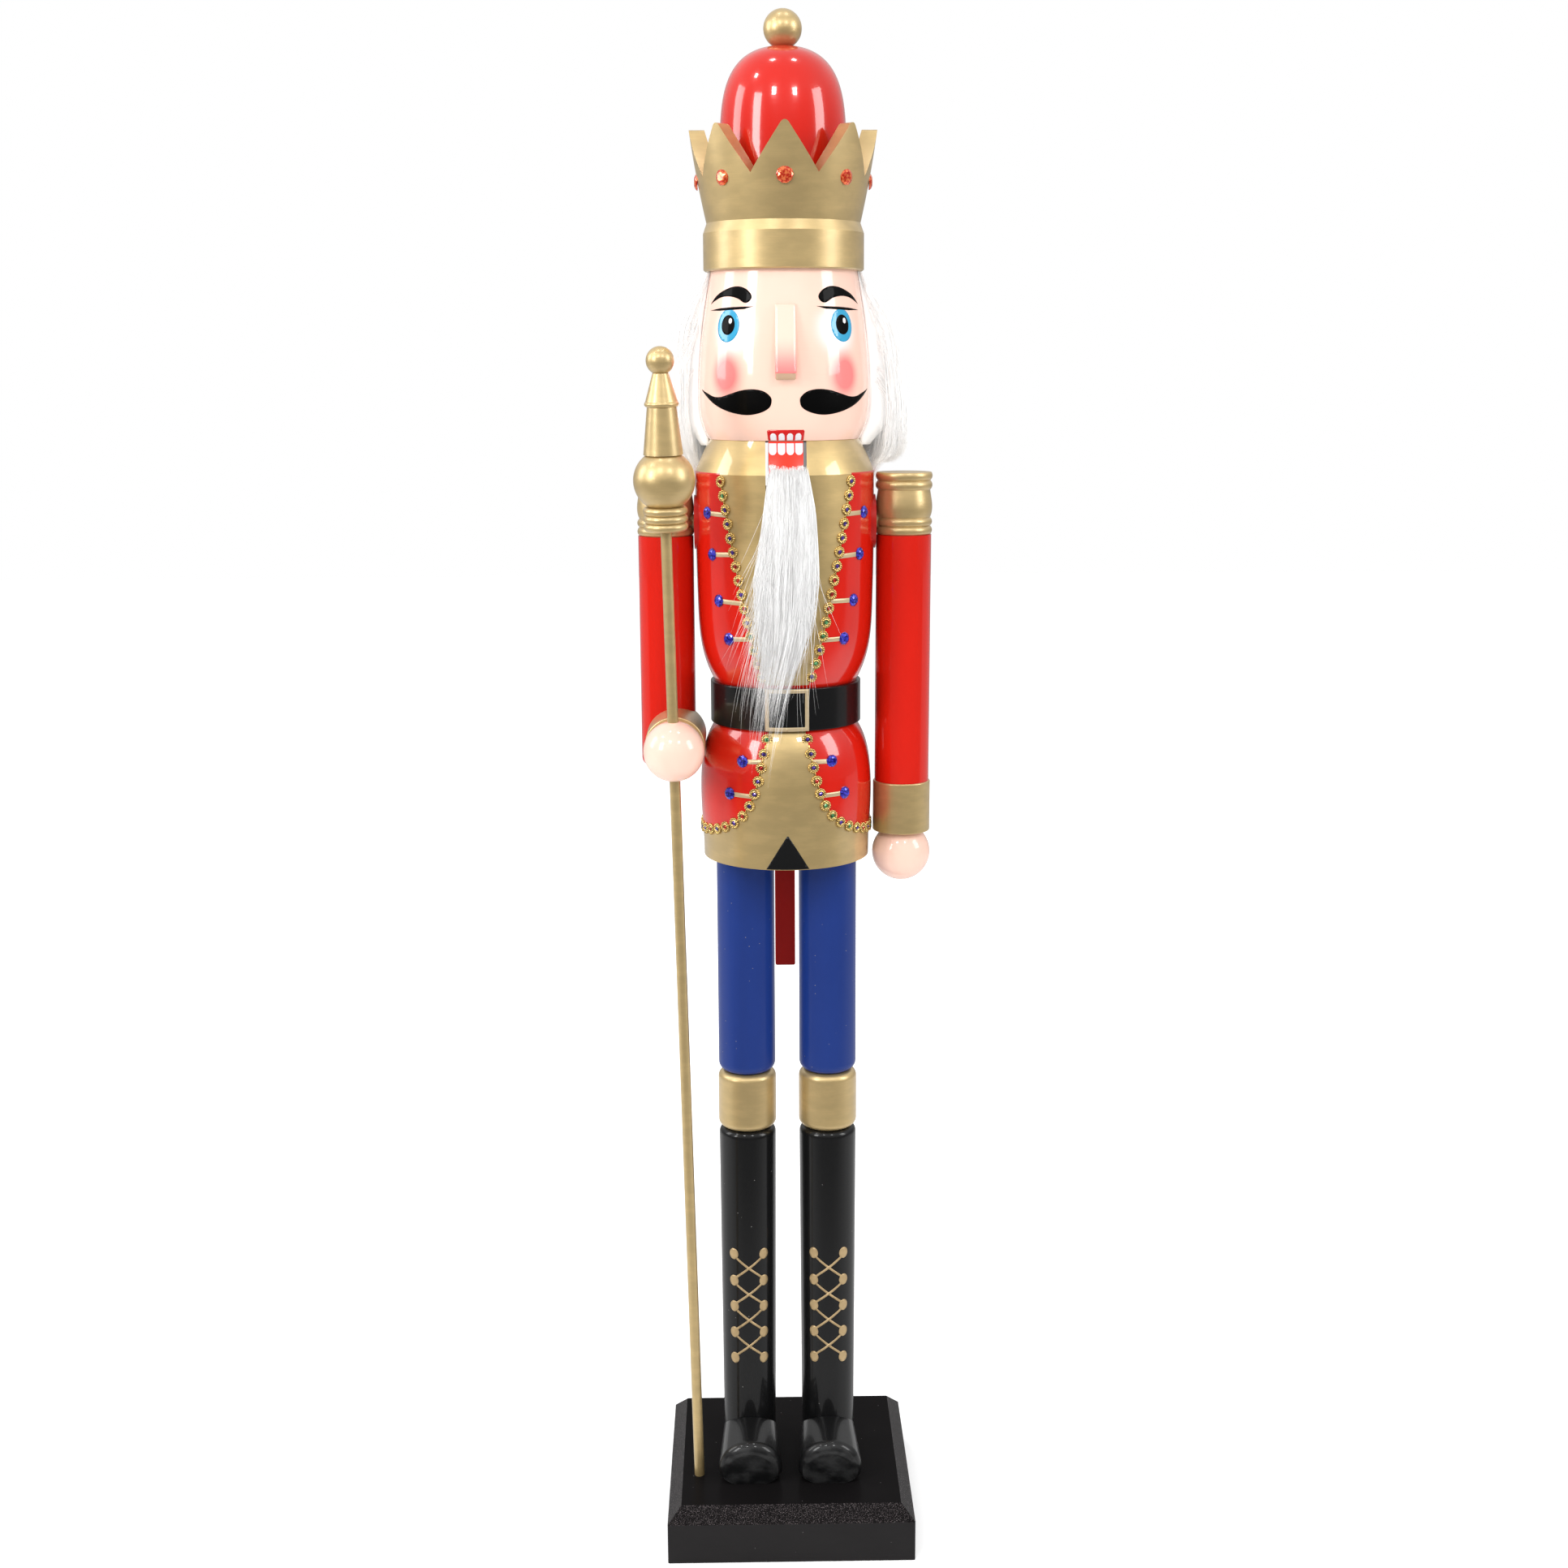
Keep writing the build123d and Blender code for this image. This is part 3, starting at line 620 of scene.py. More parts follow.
def band(path, width):
    """The outline of a brushed line of a width along an open path."""
    path = [Vector(point) for point in path]
    sides = []
    for place, point in enumerate(path):
        before = (point - path[place - 1]).normalized() if place else None
        after = (path[place + 1] - point).normalized() if place + 1 < len(path) else None
        along = ((before or after) + (after or before)).normalized()
        across = Vector((-along.y, along.x))
        reach = width / 2 / max(0.5, along.dot(after or before))
        sides.append((point + across * reach, point - across * reach))
    return [left for left, _ in sides] + [right for _, right in reversed(sides)]


def inside(point, outline):
    crossings = False
    for a, b in zip(outline, outline[1:] + outline[:1]):
        if (a.y > point.y) != (b.y > point.y):
            if point.x < (b.x - a.x) * (point.y - a.y) / (b.y - a.y) + a.x:
                crossings = not crossings
    return crossings


class Paint:
    """Thin raised coats of one paint on one body. Outlines are in mm on the unrolled surface."""

    def __init__(self, name, material, body, slot):
        self.facts = (name, material, body, slot)
        self.points, self.faces = [], []

    def lay(self, surface, outline, per_angle, lift=0.18):
        """per_angle is the millimetres round the surface for one unit of its angle."""
        outline = [Vector(point) for point in outline]
        dense = []
        for a, b in zip(outline, outline[1:] + outline[:1]):
            steps = max(1, int((b - a).length / 1.6))
            dense += [a.lerp(b, step / steps) for step in range(steps)]
        left, right = (f(p.x for p in dense) for f in (min, max))
        bottom, top = (f(p.y for p in dense) for f in (min, max))
        grid = [
            Vector((x, y))
            for x in np.arange(left + 0.8, right, 1.7)
            for y in np.arange(bottom + 0.8, top, 1.7)
        ]
        filling = [
            point for point in grid
            if inside(point, dense) and min((point - edge).length for edge in dense) > 0.55
        ]
        rim = len(dense)
        flat, _, triangles = delaunay_2d_cdt(
            dense + filling, [], [list(range(rim))], 1, 1e-5
        )[:3]
        first = len(self.points)
        for depth in (lift, -0.12):
            self.points += [surface.at(point.x / per_angle, point.y, depth) for point in flat]
        size = len(flat)
        edges = {}
        for face in triangles:
            self.faces.append([first + index for index in face])
            self.faces.append([first + size + index for index in reversed(face)])
            edges.update(dict.fromkeys(zip(face, [*face[1:], face[0]])))
        for a, b in edges:
            if (b, a) not in edges:
                self.faces.append([first + b, first + a, first + size + a, first + size + b])

    def finish(self):
        name, material, body, slot = self.facts
        return piece(name, self.points, self.faces, [material], body)


# ---------------- painted features


def paint_face(black):
    """Brows, lids, eyes and moustache, the same on both sides."""
    head = Round("head")
    per_degree = radians(1) * 65.0
    dark = Paint("face_black_paint", black, "figure", "black_paint")
    blue = lacquer("iris_blue", (0.028, 0.33, 0.56, 1), 0.25).material
    white = lacquer("eye_white", (0.9, 0.9, 0.9, 1), 0.25).material
    iris = Paint("iris_paint", blue, "figure", "blue_paint")
    glint = Paint("eye_glint_paint", white, "figure", "white_fur")
    brow = [(67, 1003.6), (58, 1010.2), (45, 1015), (35.5, 1015.8), (28.5, 1013.2), (24.6, 1008.6),
            (26.2, 1004.8), (30.2, 1003.8), (36, 1006.9), (44, 1008.7), (54, 1008)]
    moustache = [(73, 940.2), (62, 937.2), (54.5, 935), (47.2, 934.9), (38.5, 937.3), (30, 939.8),
                 (21.3, 940.6), (14.3, 939.0), (10, 935.2), (9.2, 931.6), (10.8, 927.0), (16.5, 923.4),
                 (25, 921.6), (34, 922.4), (43.5, 924.9), (53.5, 929), (64, 935)]
    for side in (-1, 1):
        def there(points):
            return [(angle * per_degree * side, height) for angle, height in points]

        dark.lay(head, flowing(there(brow)), per_degree)
        dark.lay(head, flowing(there(moustache)), per_degree)
        lid = [(22.5, 1001.1), (30, 1001.0), (42, 1000.8), (52, 1000.3), (66, 998.9)]
        lower = [(52, 998.4), (42, 998.8), (30, 999.2)]
        dark.lay(head, there(lid + lower), per_degree)
        centre = (43.2 * per_degree * side, 987.3)
        iris.lay(head, oval(centre, 11.4, 12.2, 40), per_degree, 0.12)
        dark.lay(head, oval((centre[0] + 0.3, centre[1] + 0.5), 6.9, 7.3, 32), per_degree, 0.22)
        glint.lay(head, oval((centre[0] + 2.6, centre[1] + 3.4), 1.7, 2.1, 16), per_degree, 0.30)
    for paint in (dark, iris, glint):
        paint.finish()
    return head, per_degree


def tooth(centre, half_width, root, tip):
    """An upright tooth with a round tip, above or below its root."""
    bend = copysign(half_width, tip - root)
    arc = [
        (centre + half_width * cos(t), tip - bend + bend * sin(t))
        for t in np.linspace(0, pi, 9)
    ]
    return [(centre + half_width, root), *arc, (centre - half_width, root)]


def paint_mouth(head, per_degree):
    """The red mouth and four teeth above the jaw line, and four on the jaw."""
    red = Paint("mouth_paint", lacquer("mouth_red", MOUTH_RED, 0.25).material, "figure", "red_paint")
    corners = [
        (-14.6, 902.6), (14.6, 902.6), (14.9, 904), (14.9, 909.6),
        (14.2, 910.6), (-14.2, 910.6), (-14.9, 909.6), (-14.9, 904),
    ]
    red.lay(head, corners, per_degree, 0.12)
    enamel = lacquer("tooth_white", (0.72, 0.70, 0.73, 1), 0.25).material
    jaw_enamel = lacquer("jaw_tooth_white", (0.86, 0.84, 0.90, 1), 0.25).material
    upper = Paint("upper_teeth_paint", enamel, "figure", "white_fur")
    lower = Paint("jaw_teeth_paint", jaw_enamel, "jaw", "white_fur")
    jaw = Front("jaw_block")
    for centre in (-10.2, -3.4, 3.4, 10.2):
        upper.lay(head, tooth(centre, 2.5, 902.65, 908.1), per_degree, 0.2)
        lower.lay(jaw, tooth(centre * 0.97, 2.8, 900.6, 892.0)[::-1], 1.0, 0.2)
    for paint in (red, upper, lower):
        paint.finish()


def paint_clothes(black):
    """The belt buckle, the bars beside the buttons and the black point of the hem."""
    cream = Shader("cream_gold", Metallic=0.55, Roughness=0.38)
    streaks = cream.noise((9, 9, 0.8), 3)
    cream.colour(cream.varied(streaks, CREAM_GOLD, 0.85))
    cream.bump((streaks, 0.06))
    belt, torso, skirt = Round("belt_disc"), Round("torso"), Round("coat_skirt")
    per_belt = radians(1) * 59.6
    per_coat = radians(1) * 68.0
    line = Paint("line_paint", cream.material, "figure", "gold_paint")
    wide, low, high = 15.6, 682.4, 712.2
    frame_line = [(0.1, low), (wide, low), (wide, high), (-wide, high), (-wide, low), (-0.1, low)]
    line.lay(belt, band(frame_line, 3.1), per_belt, 0.25)

    def across(co):
        return degrees(atan2(abs(co.x), -co.y)) * per_coat

    for surface, buttons, trim in (
        (torso, "coat_buttons", "chest_trim_left"),
        (skirt, "skirt_buttons", "skirt_trim_left"),
    ):
        chain = islands(trim)
        for button in islands(buttons):
            side = copysign(1, button.x)
            gaps = [abs(co.z - button.z) + 3 * max(0.0, abs(co.x) - abs(button.x)) for co in chain]
            start, stop = across(button), across(chain[gaps.index(min(gaps))])
            slope = random.Random(round(button.z * 1e4 + side)).uniform(-1.2, 1.2)
            height = button.z * 1000
            path = [(side * start, height), (side * stop, height + slope)]
            line.lay(surface, band(path, 3.5), per_coat, 0.25)
    line.finish()
    point = Paint("hem_point_paint", black, "figure", "black_paint")
    point.lay(skirt, [(-17.4, 572.9), (17.4, 572.9), (0.6, 599.6), (-0.6, 599.6)], per_coat, 0.15)
    point.finish()


def paint_laces():
    """Gold eyelets up each boot with laces crossed between them."""
    shader = Shader("lace_gold", Metallic=0.5, Roughness=0.4)
    daubs = shader.noise(5, 2)
    shader.colour(shader.mixed(daubs, (0.42, 0.29, 0.14, 1), (0.60, 0.44, 0.24, 1)))
    shader.bump((daubs, 0.05))
    for name in ("left", "right"):
        low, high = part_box(name + "_boot")
        axis = (low.x + high.x) / 2
        boot = Round(name + "_boot", axis)
        per_degree = radians(1) * 22.0
        across = 33 * per_degree
        paint = Paint(name + "_lace_paint", shader.material, "figure", "gold_paint")
        rows = [233.0, 209.2, 186.2, 162.7, 139.5]
        for row in rows:
            for edge in (-across, across):
                paint.lay(boot, oval((edge, row), 4.0, 4.8, 20), per_degree, 0.28)
        for upper, lower in zip(rows, rows[1:]):
            for edge, lift in ((-across, 0.16), (across, 0.20)):
                path = [(edge, upper - 1.5), (-edge, lower + 1.5)]
                paint.lay(boot, band(path, 1.8), per_degree, lift)
        paint.finish()


# ---------------- stones and florets


def stood_on(centre, axis_x=0.0):
    """Out, across and up at a piece glued on the figure's round surface."""
    out = Vector((centre.x - axis_x, centre.y, 0)).normalized()
    up = Vector((0, 0, 1))
    return out, up.cross(out), up


def ring(axes, turn, radius):
    return (axes[1] * cos(turn) + axes[2] * sin(turn)) * radius


def ringed(points, faces, centre, axes, rows, count, ribs=0):
    """Adds a closed round form from (radius, height, rib share) rows in millimetres, top first."""
    first = len(points)
    for radius, height, share in rows:
        for step in range(count):
            turn = 2 * pi * step / count
            rib = share * cos(ribs * turn)
            spread = ring(axes, turn, radius) * (1 + 0.06 * rib)
            points.append(centre + (spread + axes[0] * height * (1 + rib)) * MM)
    last = first + count * (len(rows) - 1)
    faces.append(list(range(first, first + count)))
    faces.append(list(range(last + count - 1, last - 1, -1)))
    for start in range(first, last, count):
        for step in range(count):
            a, b = start + step, start + (step + 1) % count
            faces.append([a, a + count, b + count, b])


def gem(points, faces, centre, axes, radius, height, sides, picks=None, pick=0):
    """Adds a brilliant: a flat table, two rings of facets and a thin girdle."""
    first = len(points)
    rows = ((0.52, 1.0, 0.0), (0.80, 0.70, 0.5), (1.0, 0.28, 0.0), (1.0, 0.0, 0.0))
    for reach, level, offset in rows:
        for step in range(sides):
            turn = 2 * pi * (step + offset) / sides
            spread = ring(axes, turn, radius) * reach
            points.append(centre + (spread + axes[0] * height * level) * MM)
    top, mid, low, seat = (first + row * sides for row in range(4))
    new = [[top + step for step in range(sides)], [seat + step for step in reversed(range(sides))]]
    for step in range(sides):
        after = (step + 1) % sides
        new.append([top + step, mid + step, top + after])
        new.append([mid + step, mid + after, top + after])
        new.append([mid + step, low + step, low + after])
        new.append([mid + step, low + after, mid + after])
        new.append([low + step, seat + step, seat + after, low + after])
    faces += new
    if picks is not None:
        picks += [pick] * len(new)


# each stone's own colour, then the lighter colour of its painted glints
STONES = {
    "r": ((0.20, 0.004, 0.004, 1), (0.85, 0.05, 0.03, 1)),
    "g": ((0.02, 0.12, 0.035, 1), (0.22, 0.62, 0.25, 1)),
    "p": ((0.015, 0.004, 0.09, 1), (0.16, 0.07, 0.50, 1)),
    "l": ((0.22, 0.16, 0.38, 1), (0.72, 0.62, 0.90, 1)),
}


# (radius, height, rib share) rows in millimetres, top first
FLORET = (
    (1.7, 0.9, 0), (1.95, 1.6, 0), (2.35, 1.65, 0), (2.7, 1.0, 0),
    (3.1, 1.15, 0.22), (3.7, 1.5, 0.28), (4.25, 1.1, 0.45), (4.5, 0.55, 0.5), (4.4, 0.0, 0.3),
)
LINK = ((1.0, 0.95, 0), (1.25, 0.7, 0), (1.25, 0.1, 0), (1.0, 0.0, 0))


def trims(gilt_metal):
    """Chains of gilt florets, each with its own coloured stone, joined by small links."""
    kinds = {key: stone("stone_" + key, *colours) for key, colours in STONES.items()}
    order = list(kinds)
    colours = {
        "chest_trim_right": "rgpppprrprlggrp",
        "chest_trim_left": "ppppppprrrggpgp",
        "skirt_trim_right": "gprppprprprppgprprpg",
        "skirt_trim_left": "ppprpggpgprpgpprpgrp",
    }
    for name, sequence in colours.items():
        centres = islands(name)
        centres.sort(key=lambda co: atan2(abs(co.x), -co.y), reverse=name.startswith("chest"))
        points, faces, stone_points, stone_faces, picks = [], [], [], [], []
        for place, centre in enumerate(centres):
            axes = stood_on(centre)
            seat = centre - axes[0] * 0.0009
            ringed(points, faces, seat, axes, FLORET, 56, 14)
            pick = order.index(sequence[place % len(sequence)])
            gem(stone_points, stone_faces, seat + axes[0] * 0.0008, axes, 1.72, 1.1, 8, picks, pick)
            if place + 1 < len(centres):
                after = centres[place + 1]
                middle = (centre + after) / 2
                out = stood_on(middle)[0]
                along = (after - centre).normalized()
                side = along.cross(out).normalized()
                axes = (out, side * 0.55, along * 1.5)
                ringed(points, faces, middle - out * 0.0010, axes, LINK, 10)
        piece(name + "_gilt", points, faces, [gilt_metal], "figure")
        glass = list(kinds.values())
        stones = piece(
            name + "_stones", stone_points, stone_faces, glass, "figure", picks, False
        )
        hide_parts(name)


def set_stones():
    """Blue buttons on the coat and red gems round the crown."""
    # the second colour of each stone is painted in patches as painted glints
    blue = stone("sapphire_glass", (0.012, 0.006, 0.20, 1), (0.07, 0.07, 0.80, 1))
    red = stone("ruby_glass", (0.60, 0.022, 0.005, 1), (1.0, 0.24, 0.07, 1))
    for name, material, slot, radius, height, sides in (
        ("coat_buttons", blue, "blue_stone", 5.0, 2.4, 9),
        ("skirt_buttons", blue, "blue_stone", 5.0, 2.4, 9),
        ("crown_gems", red, "red_stone", 6.4, 2.6, 10),
    ):
        points, faces = [], []
        for centre in islands(name):
            axes = stood_on(centre)
            gem(points, faces, centre - axes[0] * 0.0013, axes, radius, height, sides)
        made = piece(name + "_cut", points, faces, [material], "figure", None, False)
        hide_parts(name)


# ---------------- fur


def tubes(lines, thickness):
    """Closed three-sided hairs along lines (hair, point, axis) that taper to their tips."""
    count, length = lines.shape[:2]
    along = np.gradient(lines, axis=1)
    along /= np.linalg.norm(along, axis=2, keepdims=True) + 1e-12
    guide = np.array([0.31, -0.87, 0.12])
    across = np.cross(along, guide)
    across /= np.linalg.norm(across, axis=2, keepdims=True) + 1e-12
    other = np.cross(along, across)
    taper = np.interp(np.linspace(0, 1, length), [0, 0.08, 0.6, 1], [0.7, 1.0, 0.85, 0.12])
    radius = thickness[:, None, None] * taper[None, :, None]
    corners = []
    for turn in np.radians([0, 120, 240]):
        corners.append(lines + (across * cos(turn) + other * sin(turn)) * radius)
    points = np.stack(corners, axis=2).reshape(-1, 3)
    base = (np.arange(count) * length * 3)[:, None, None]
    step = (np.arange(length - 1) * 3)[None, :, None]
    corner = np.arange(3)[None, None, :]
    nxt = (corner + 1) % 3
    quads = np.stack(np.broadcast_arrays(
        base + step + corner, base + step + nxt, base + step + 3 + nxt, base + step + 3 + corner
    ), axis=-1).reshape(-1, 4)
    starts = base[:, :, 0]
    roots = starts + np.array([2, 1, 0])[None]
    tips = starts + (length - 1) * 3 + np.array([0, 1, 2])[None]
    return points, quads.tolist() + roots.tolist() + tips.tolist()


def fleece(name, sets, white, body=None):
    """A piece made of sets of hairs."""
    points, faces = tubes(*(np.concatenate(parts) for parts in zip(*sets)))
    return piece(name, points, faces, [white], body)


def waved(count, length, size):
    """A gentle sideways wander for each hair, as (hair, point) values."""
    t = np.linspace(0, 1, length)[None]
    phase = rng.uniform(0, 2 * pi, (count, 1))
    rate = rng.uniform(0.5, 1.4, (count, 1))
    return size * t * np.sin(phase + rate * 2 * pi * t)


BEARD_LEVELS = [650, 675, 700, 725, 745, 770, 797, 823, 850, 884]
BEARD_MIDDLE = [-20, -17, -13, -8, -3.5, -0.4, 0.0, 1.6, 2.4, 1.6]
BEARD_SPREAD = [9, 11, 11.5, 12.5, 15.5, 19, 21.5, 19.5, 17.4, 12.8]


def chest_wall(torso, heights):
    """How far out the coat, belt and skirt stand at each height, in millimetres."""
    wall = np.array([torso.radius(max(0.716, value * MM)) for value in heights]) * 1000
    wall = np.where(heights < 716, 64.5, wall)
    wall = np.where(heights < 684, 69.5, wall)
    return np.convolve(np.pad(wall, 1, mode="edge"), [0.25, 0.5, 0.25], mode="valid")


def over_chest(torso, x, z, stand):
    """A hair with given places across and up, that stands off the clothes by some millimetres."""
    y = -np.sqrt(np.maximum(900, (chest_wall(torso, z) + stand) ** 2 - x * x))
    return np.stack([x, y, z], axis=1) * MM


def beard_lines(clumps, hairs, length, longest, reach, looseness, torso):
    """Hairs gathered into clumps, from the jaw's front down over the chest."""
    lines, thickness = [], []
    for _ in range(clumps):
        side = rng.uniform(-1, 1)
        root_z = rng.uniform(862, 882.5)
        tip_z = longest + (835 - longest) * rng.beta(1.7, 2.0)
        depth = rng.uniform(0, 1) ** 0.8
        lean = rng.normal(0, 0.16)
        swing = rng.normal(0, 1.2)
        t = np.linspace(0, 1, length)
        jitter_side = rng.normal(0, 0.13, hairs)
        jitter_depth = rng.normal(0, 0.10, hairs)
        jitter_tip = rng.normal(0, 10, hairs)
        wander = waved(hairs, length, 0.8 * looseness)
        for hair in range(hairs):
            z = root_z + rng.uniform(-2, 2) + (tip_z + jitter_tip[hair] - root_z) * t
            gather = 1 - 0.70 * np.minimum(1, t * 1.3) + 0.5 * np.maximum(0, t - 0.75) * looseness
            k = np.clip(side + lean * t + jitter_side[hair] * gather, -1.12, 1.12)
            x = np.interp(z, BEARD_LEVELS, BEARD_MIDDLE) + k * np.interp(z, BEARD_LEVELS, BEARD_SPREAD)
            x = x + wander[hair] + swing * t * t
            edge = 1 - 0.75 * np.clip(np.abs(k), 0, 1) ** 2
            level = np.clip(depth + jitter_depth[hair] * gather, 0.02, 1)
            stand = 1.2 + level * reach * edge * np.interp(t, [0, 0.12, 0.45, 1], [0.25, 0.8, 1.0, 0.55])
            lines.append(over_chest(torso, x, z, stand))
            thickness.append(rng.uniform(0.12, 0.20) * MM)
    return np.array(lines), np.array(thickness)


def stray_lines(count, length, side, torso):
    """Single hairs that fan out from the beard's edge over the coat."""
    lines = []
    for _ in range(count):
        t = np.linspace(0, 1, length)
        root_z = rng.uniform(800, 868)
        fan = rng.beta(1.3, 2.0)
        tip_z = root_z - rng.uniform(60, 150) * (1 - 0.25 * fan)
        z = root_z + (tip_z - root_z) * t
        root_x = np.interp(root_z, BEARD_LEVELS, BEARD_SPREAD) * rng.uniform(0.3, 0.95)
        x = side * (root_x + fan * rng.uniform(18, 40) * t ** rng.uniform(0.8, 1.5))
        x = x + np.interp(z, BEARD_LEVELS, BEARD_MIDDLE) * (1 - t * 0.6)
        x = x + rng.normal(0, 1.2) * np.sin(3 * t)
        stand = 1.4 + rng.uniform(1, 7) * np.interp(t, [0, 0.4, 1], [0.6, 1.0, 0.5])
        lines.append(over_chest(torso, x, z, stand))
    return np.array(lines), np.full(count, 0.13 * MM)


def grow_beard(white):
    """The beard's locks, with stray hairs that fan out at the sides."""
    torso = Round("torso")
    locks = [
        ("beard_fur", [beard_lines(230, 12, 11, 708, 9.0, 0.8, torso)]),
        ("beard_fringe", [
            beard_lines(150, 12, 11, 694, 9.5, 1.1, torso),
            beard_lines(80, 4, 11, 648, 10.5, 2.2, torso),
            stray_lines(210, 11, -1, torso),
            stray_lines(26, 11, 1, torso),
        ]),
    ]
    for name, sets in locks:
        fringe = fleece(name, sets, white)
        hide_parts("beard")
        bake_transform(fringe)


HAIR_LEVELS = [868, 878, 892, 897, 930, 952, 974, 997, 1011, 1028]
HAIR_REACH = [75, 84, 94.5, 97, 96, 93, 88.5, 82, 73, 63.5]


def hair_front(height):
    """How many degrees from the front the fur starts."""
    return np.interp(height, [903, 946, 989, 1030], [92, 92, 87, 80])


def hair_reach(side, height):
    """The fur's radius, which is less on the sceptre's side."""
    flatter = np.interp(height, [880, 930, 1000], [9, 9.5, 3.0]) if side < 0 else 0
    return np.interp(height, HAIR_LEVELS, HAIR_REACH) - flatter


def skull_radius(head, height):
    return head.radius(min(max(height, 903.5), 1027.5) * MM) * 1000


def hair_lines(side, clumps, hairs, length, head):
    """Hairs from under the crown band down one side of the head to the middle of the back."""
    lines, thickness = [], []
    for _ in range(clumps):
        share = rng.uniform(0, 1)
        depth = rng.uniform(0.25, 1) ** 0.6
        root_z = 1027.5 if rng.uniform() < 0.6 else rng.uniform(945, 1025)
        tip_z = rng.uniform(868, 900)
        t = np.linspace(0, 1, length)
        drift = rng.normal(0, 0.035)
        jitter_share = rng.normal(0, 0.022, hairs)
        jitter_depth = rng.normal(0, 0.09, hairs)
        wander = waved(hairs, length, 1.0)
        for hair in range(hairs):
            z = root_z + (tip_z + rng.normal(0, 5) - root_z) * t
            gather = 1 - 0.6 * t
            front = hair_front(z)
            place = np.clip(share + drift * t + jitter_share[hair] * gather, 0, 1.02)
            angle = front + place * (180 - front)
            skull = np.array([skull_radius(head, value) for value in z])
            behind = np.clip((angle - 100) / 60, 0, 1)
            reach = hair_reach(side, z) - 7.0 * behind * np.interp(z, [890, 990], [1, 0.2])
            level = np.clip(depth + jitter_depth[hair] * gather, 0.08, 1)
            start = np.interp(t, [0, 0.25], [0.35, 1.0])
            radius = skull + 0.8 + (reach - skull - 0.8) * level * start
            turn = np.radians(angle)
            x = np.sin(turn) * radius + wander[hair]
            y = -np.cos(turn) * radius + wander[hair][::-1] * 0.3
            floor = np.where(np.abs(x) > 70, 882.5 if side > 0 else 879.5, 872.0)
            floor = np.where((y > 40) & (np.abs(x) < 18), 899.0, floor)
            z = np.maximum(z, floor + rng.uniform(0, 3))
            lines.append(np.stack([x * side, y, z], axis=1) * MM)
            thickness.append(rng.uniform(0.15, 0.25) * MM)
    return np.array(lines), np.array(thickness)


def wisp_lines(count, length, side):
    """A few single hairs that hang below the rest behind one shoulder."""
    lines = []
    for _ in range(count):
        t = np.linspace(0, 1, length)
        z = rng.uniform(884, 894) + (rng.uniform(818, 860) - 889) * t
        x = rng.uniform(74, 80) + (rng.uniform(66, 70) - 77) * np.minimum(1, t * 3) + rng.normal(0, 0.8) * t
        y = rng.uniform(25, 30) + rng.normal(0, 1.5) * t
        lines.append(np.stack([x * side, y, z], axis=1) * MM)
    return np.array(lines), np.full(count, 0.13 * MM)


def shell(side, head):
    """The fur's backing on one side: a closed grooved skin between the head and the locks."""
    rows, columns, share = 40, 64, 0.62
    points = []
    for layer in (0, 1):
        for row in range(rows):
            z = 1028.0 - (1028.0 - 897.0) * row / (rows - 1)
            front = hair_front(z) + 2
            skull = skull_radius(head, z) + 0.3
            for column in range(columns):
                angle = front + (180 - front) * column / (columns - 1)
                reach = hair_reach(side, z) - 7.0 * min(1, max(0, (angle - 100) / 60))
                rim = min(1, column / 5 + 0.15) * min(1, (row + 1) / 6, (rows - row + 2) / 8)
                groove = 0.7 * sin(column * 1.9 + 1.3 * sin(row * 0.25 + column))
                radius = skull
                if layer:
                    radius += 0.4 + (reach - skull) * share * rim + groove * rim
                turn = radians(angle)
                points.append(
                    (side * sin(turn) * radius * MM, -cos(turn) * radius * MM, z * MM)
                )
    size = rows * columns
    faces = []
    for row in range(rows - 1):
        for column in range(columns - 1):
            a = row * columns + column
            inner = [a, a + 1, a + columns + 1, a + columns]
            faces.append(inner)
            faces.append([size + index for index in reversed(inner)])
    loops = [
        list(range(columns)),
        [row * columns + columns - 1 for row in range(rows)],
        [size - 1 - column for column in range(columns)],
        [row * columns for row in reversed(range(rows))],
    ]
    for loop in loops:
        for a, b in zip(loop, loop[1:]):
            faces.append([b, a, size + a, size + b])
    return points, faces


def grow_hair(white):
    head = Round("head")
    for name, side in (("left", 1), ("right", -1)):
        for layer in ("under", "outer"):
            sets = [hair_lines(side, 210, 12, 12, head)]
            if layer == "outer":
                sets.append(wisp_lines(9 if side > 0 else 18, 12, side))
            locks = fleece(f"{name}_hair_{layer}", sets, white, "figure")
            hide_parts("hair")
        points, faces = shell(side, head)
        backing = piece(name + "_hair_backing", points, faces, [white], "figure")
        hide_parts("hair")


# ---------------- the whole figure


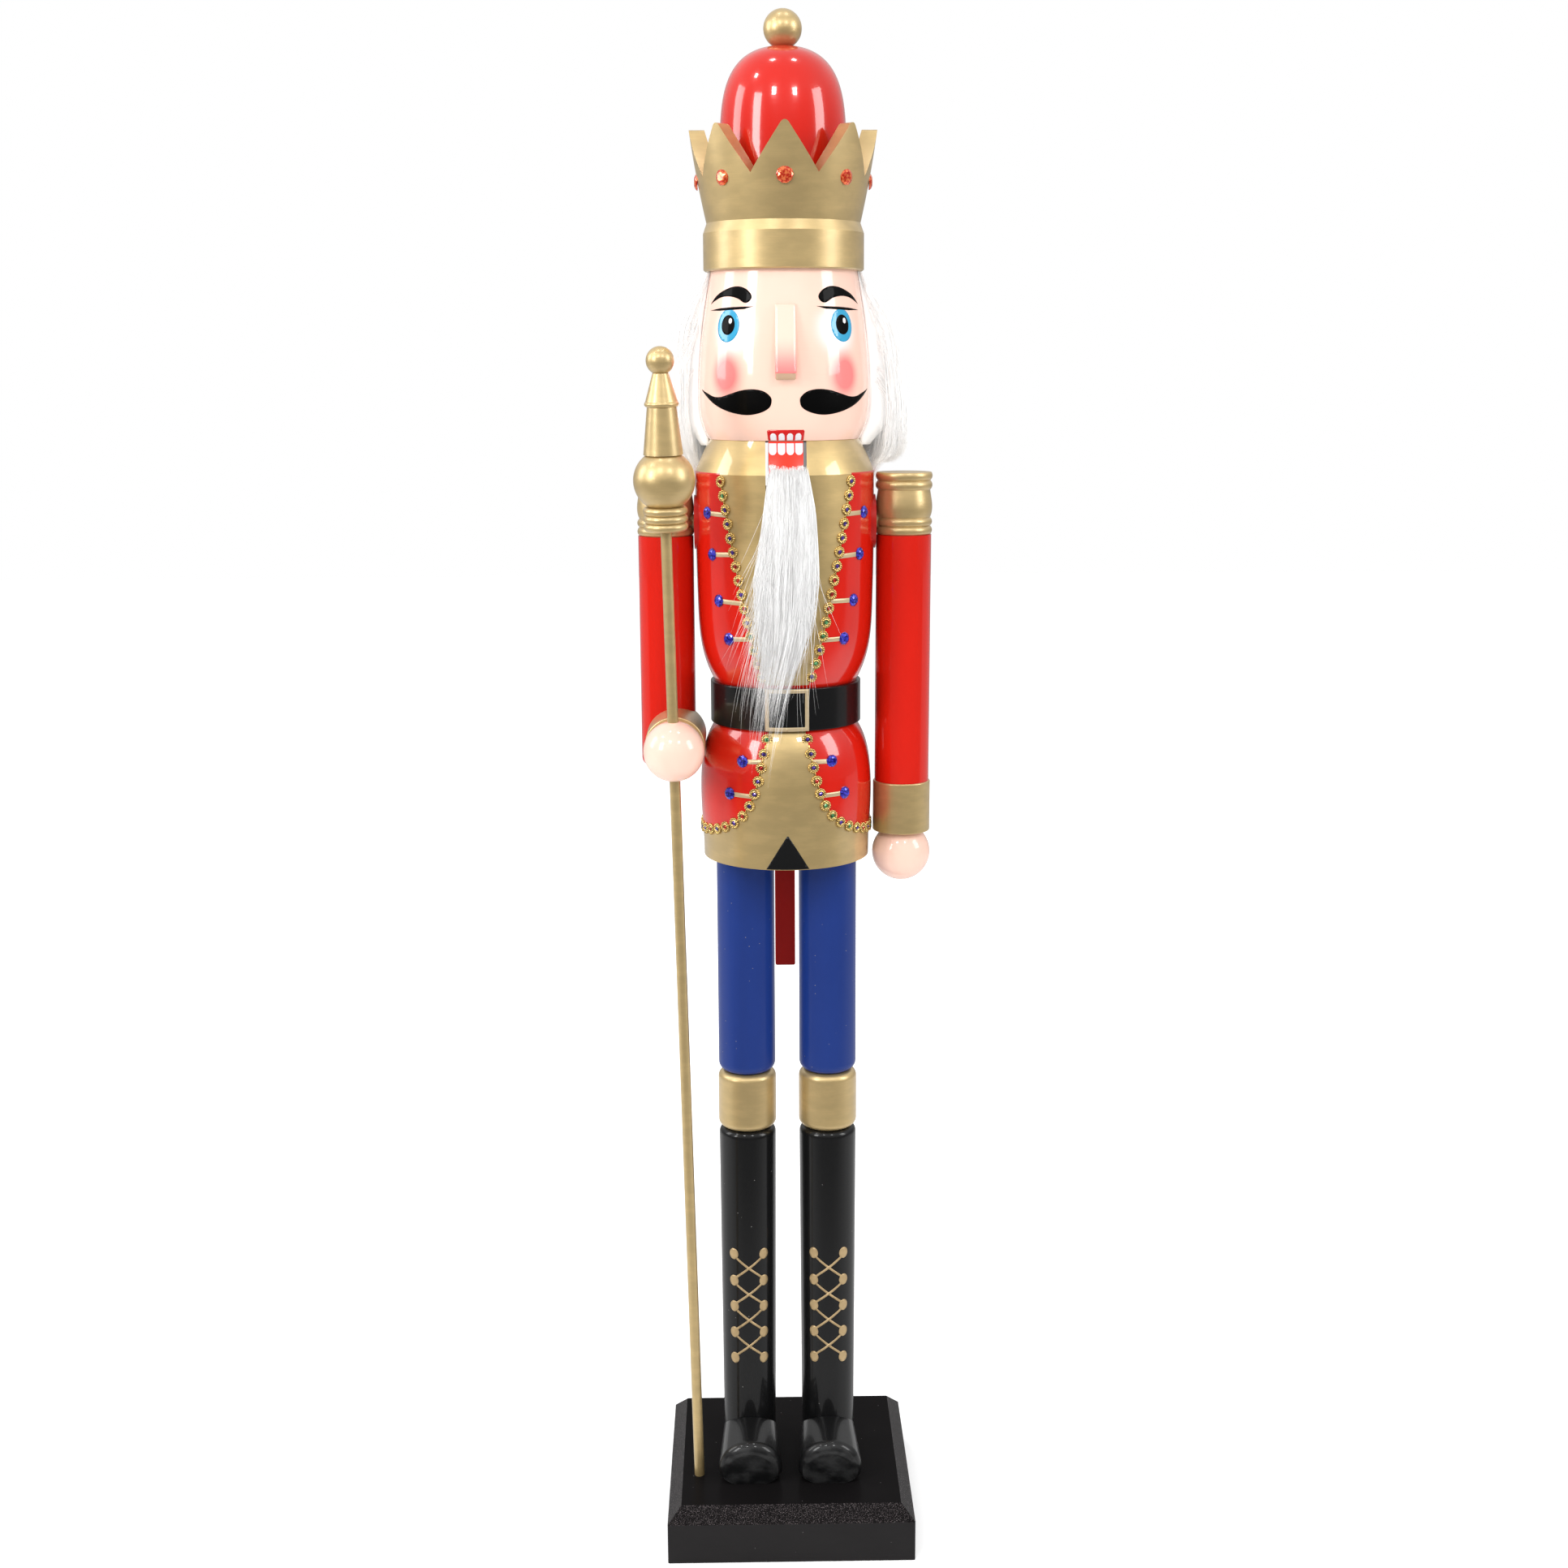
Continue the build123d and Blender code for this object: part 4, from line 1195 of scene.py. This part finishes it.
def dress():
    """A material for every CAD node that stays."""
    wear(lacquer("red_lacquer", RED).material, "cap_dome", "left_sleeve", "right_upper_arm")
    # painted shade: the shoulder discs sit in shade between the arms and the torso, so they get a darker
    # copy of the coat red
    shaded_red = lacquer("disc_shaded_red", (0.40, 0.008, 0.004, 1), 0.35, 0.1).material
    wear(shaded_red, "left_shoulder_disc", "right_shoulder_disc")
    wear(red_and_gold("coat_paint", vest_share), "torso")
    wear(red_and_gold("skirt_paint", panel_share), "coat_skirt")
    wear(lacquer("jaw_red", JAW_RED, 0.25, 0.5).material, "jaw_block")
    wear(lacquer("lever_red", DARK_RED, 0.38, 0.06, 0.06, shine=0.12).material, "lever_handle")
    blue = lacquer("blue_lacquer", BLUE, 0.36, 0.13, 0.04, 0.05, 0.2).material
    wear(blue, "left_thigh", "right_thigh")
    black = lacquer("black_lacquer", BLACK, 0.30, 0.30, 0.04, 0.03, 0.15).material
    wear(black, "left_boot", "right_boot", "belt_disc")
    wear(shoe_paint(), "left_shoe", "right_shoe")
    wear(base_paint(), "base_block")
    wear(
        gold_paint(),
        "crown_band", "crown_cup", "finial_ball", "left_knee_band", "right_knee_band",
        "left_epaulette", "right_epaulette", "left_cuff", "right_cuff", "sceptre_rod",
        "sceptre_collar", "sceptre_ball", "sceptre_taper", "sceptre_cone", "sceptre_finial",
    )
    wear(face_paint(), "head")
    wear(nose_paint(), "nose")
    wear(lacquer("hand_paint", FLESH, 0.24, 0.5, 0.03).material, "left_hand", "right_hand")
    wood, metal = bare_wood(), steel()
    for name in nodes:
        if "dowel" in name:
            wear(wood, name)
        elif "screw" in name or "pin" in name:
            wear(metal, name)
    return black


def lay_floor():
    """A plain pale floor, which the figure mirrors dimly and the camera sees white in the distance."""
    half = 8.0
    mesh = bpy.data.meshes.new("floor")
    corners = [(-half, -half, 0), (half, -half, 0), (half, half, 0), (-half, half, 0)]
    mesh.from_pydata(corners, [], [(0, 1, 2, 3)])
    floor = bpy.data.objects.new("floor", mesh)
    link(floor)
    shader = Shader("pale_floor", Roughness=0.9, Specular_IOR_Level=0.0)
    pale = shader.mixed(shader.noise(300, 2), (0.90, 0.90, 0.90, 1), (0.93, 0.93, 0.93, 1))
    path = shader.add("ShaderNodeLightPath").outputs
    mirrored = path["Is Glossy Ray"]
    reach = long_side(shader, shader.x, shader.y)
    far = shader.times(path["Is Camera Ray"], shader.above(reach, 1150.0, 1000.0))
    near = shader.below(shader.y, -450.0, 400.0)
    dim = shader.times(mirrored, shader.math("MULTIPLY_ADD", near, 0.5, 0.5))
    shader.colour(shader.mixed(dim, pale, (0.16, 0.16, 0.16, 1)))
    shader.set("Emission Color", (1, 1, 1, 1))
    steady = shader.math("MULTIPLY_ADD", dim, -0.26, 0.26)
    shader.set("Emission Strength", shader.math("MULTIPLY_ADD", far, 0.5, steady))
    mesh.materials.append(shader.material)


place_camera()
light_studio()
lay_floor()
black_paint = dress()
face_black = lacquer("face_black", (0.002, 0.002, 0.002, 1), 0.4, 0.06, shine=0.03).material
face, face_scale = paint_face(face_black)
paint_mouth(face, face_scale)
paint_clothes(black_paint)
paint_laces()
trims(gilt())
set_stones()
grow_beard(fur("beard_pile", 0.04))
grow_hair(fur("hair_pile", 0.21))
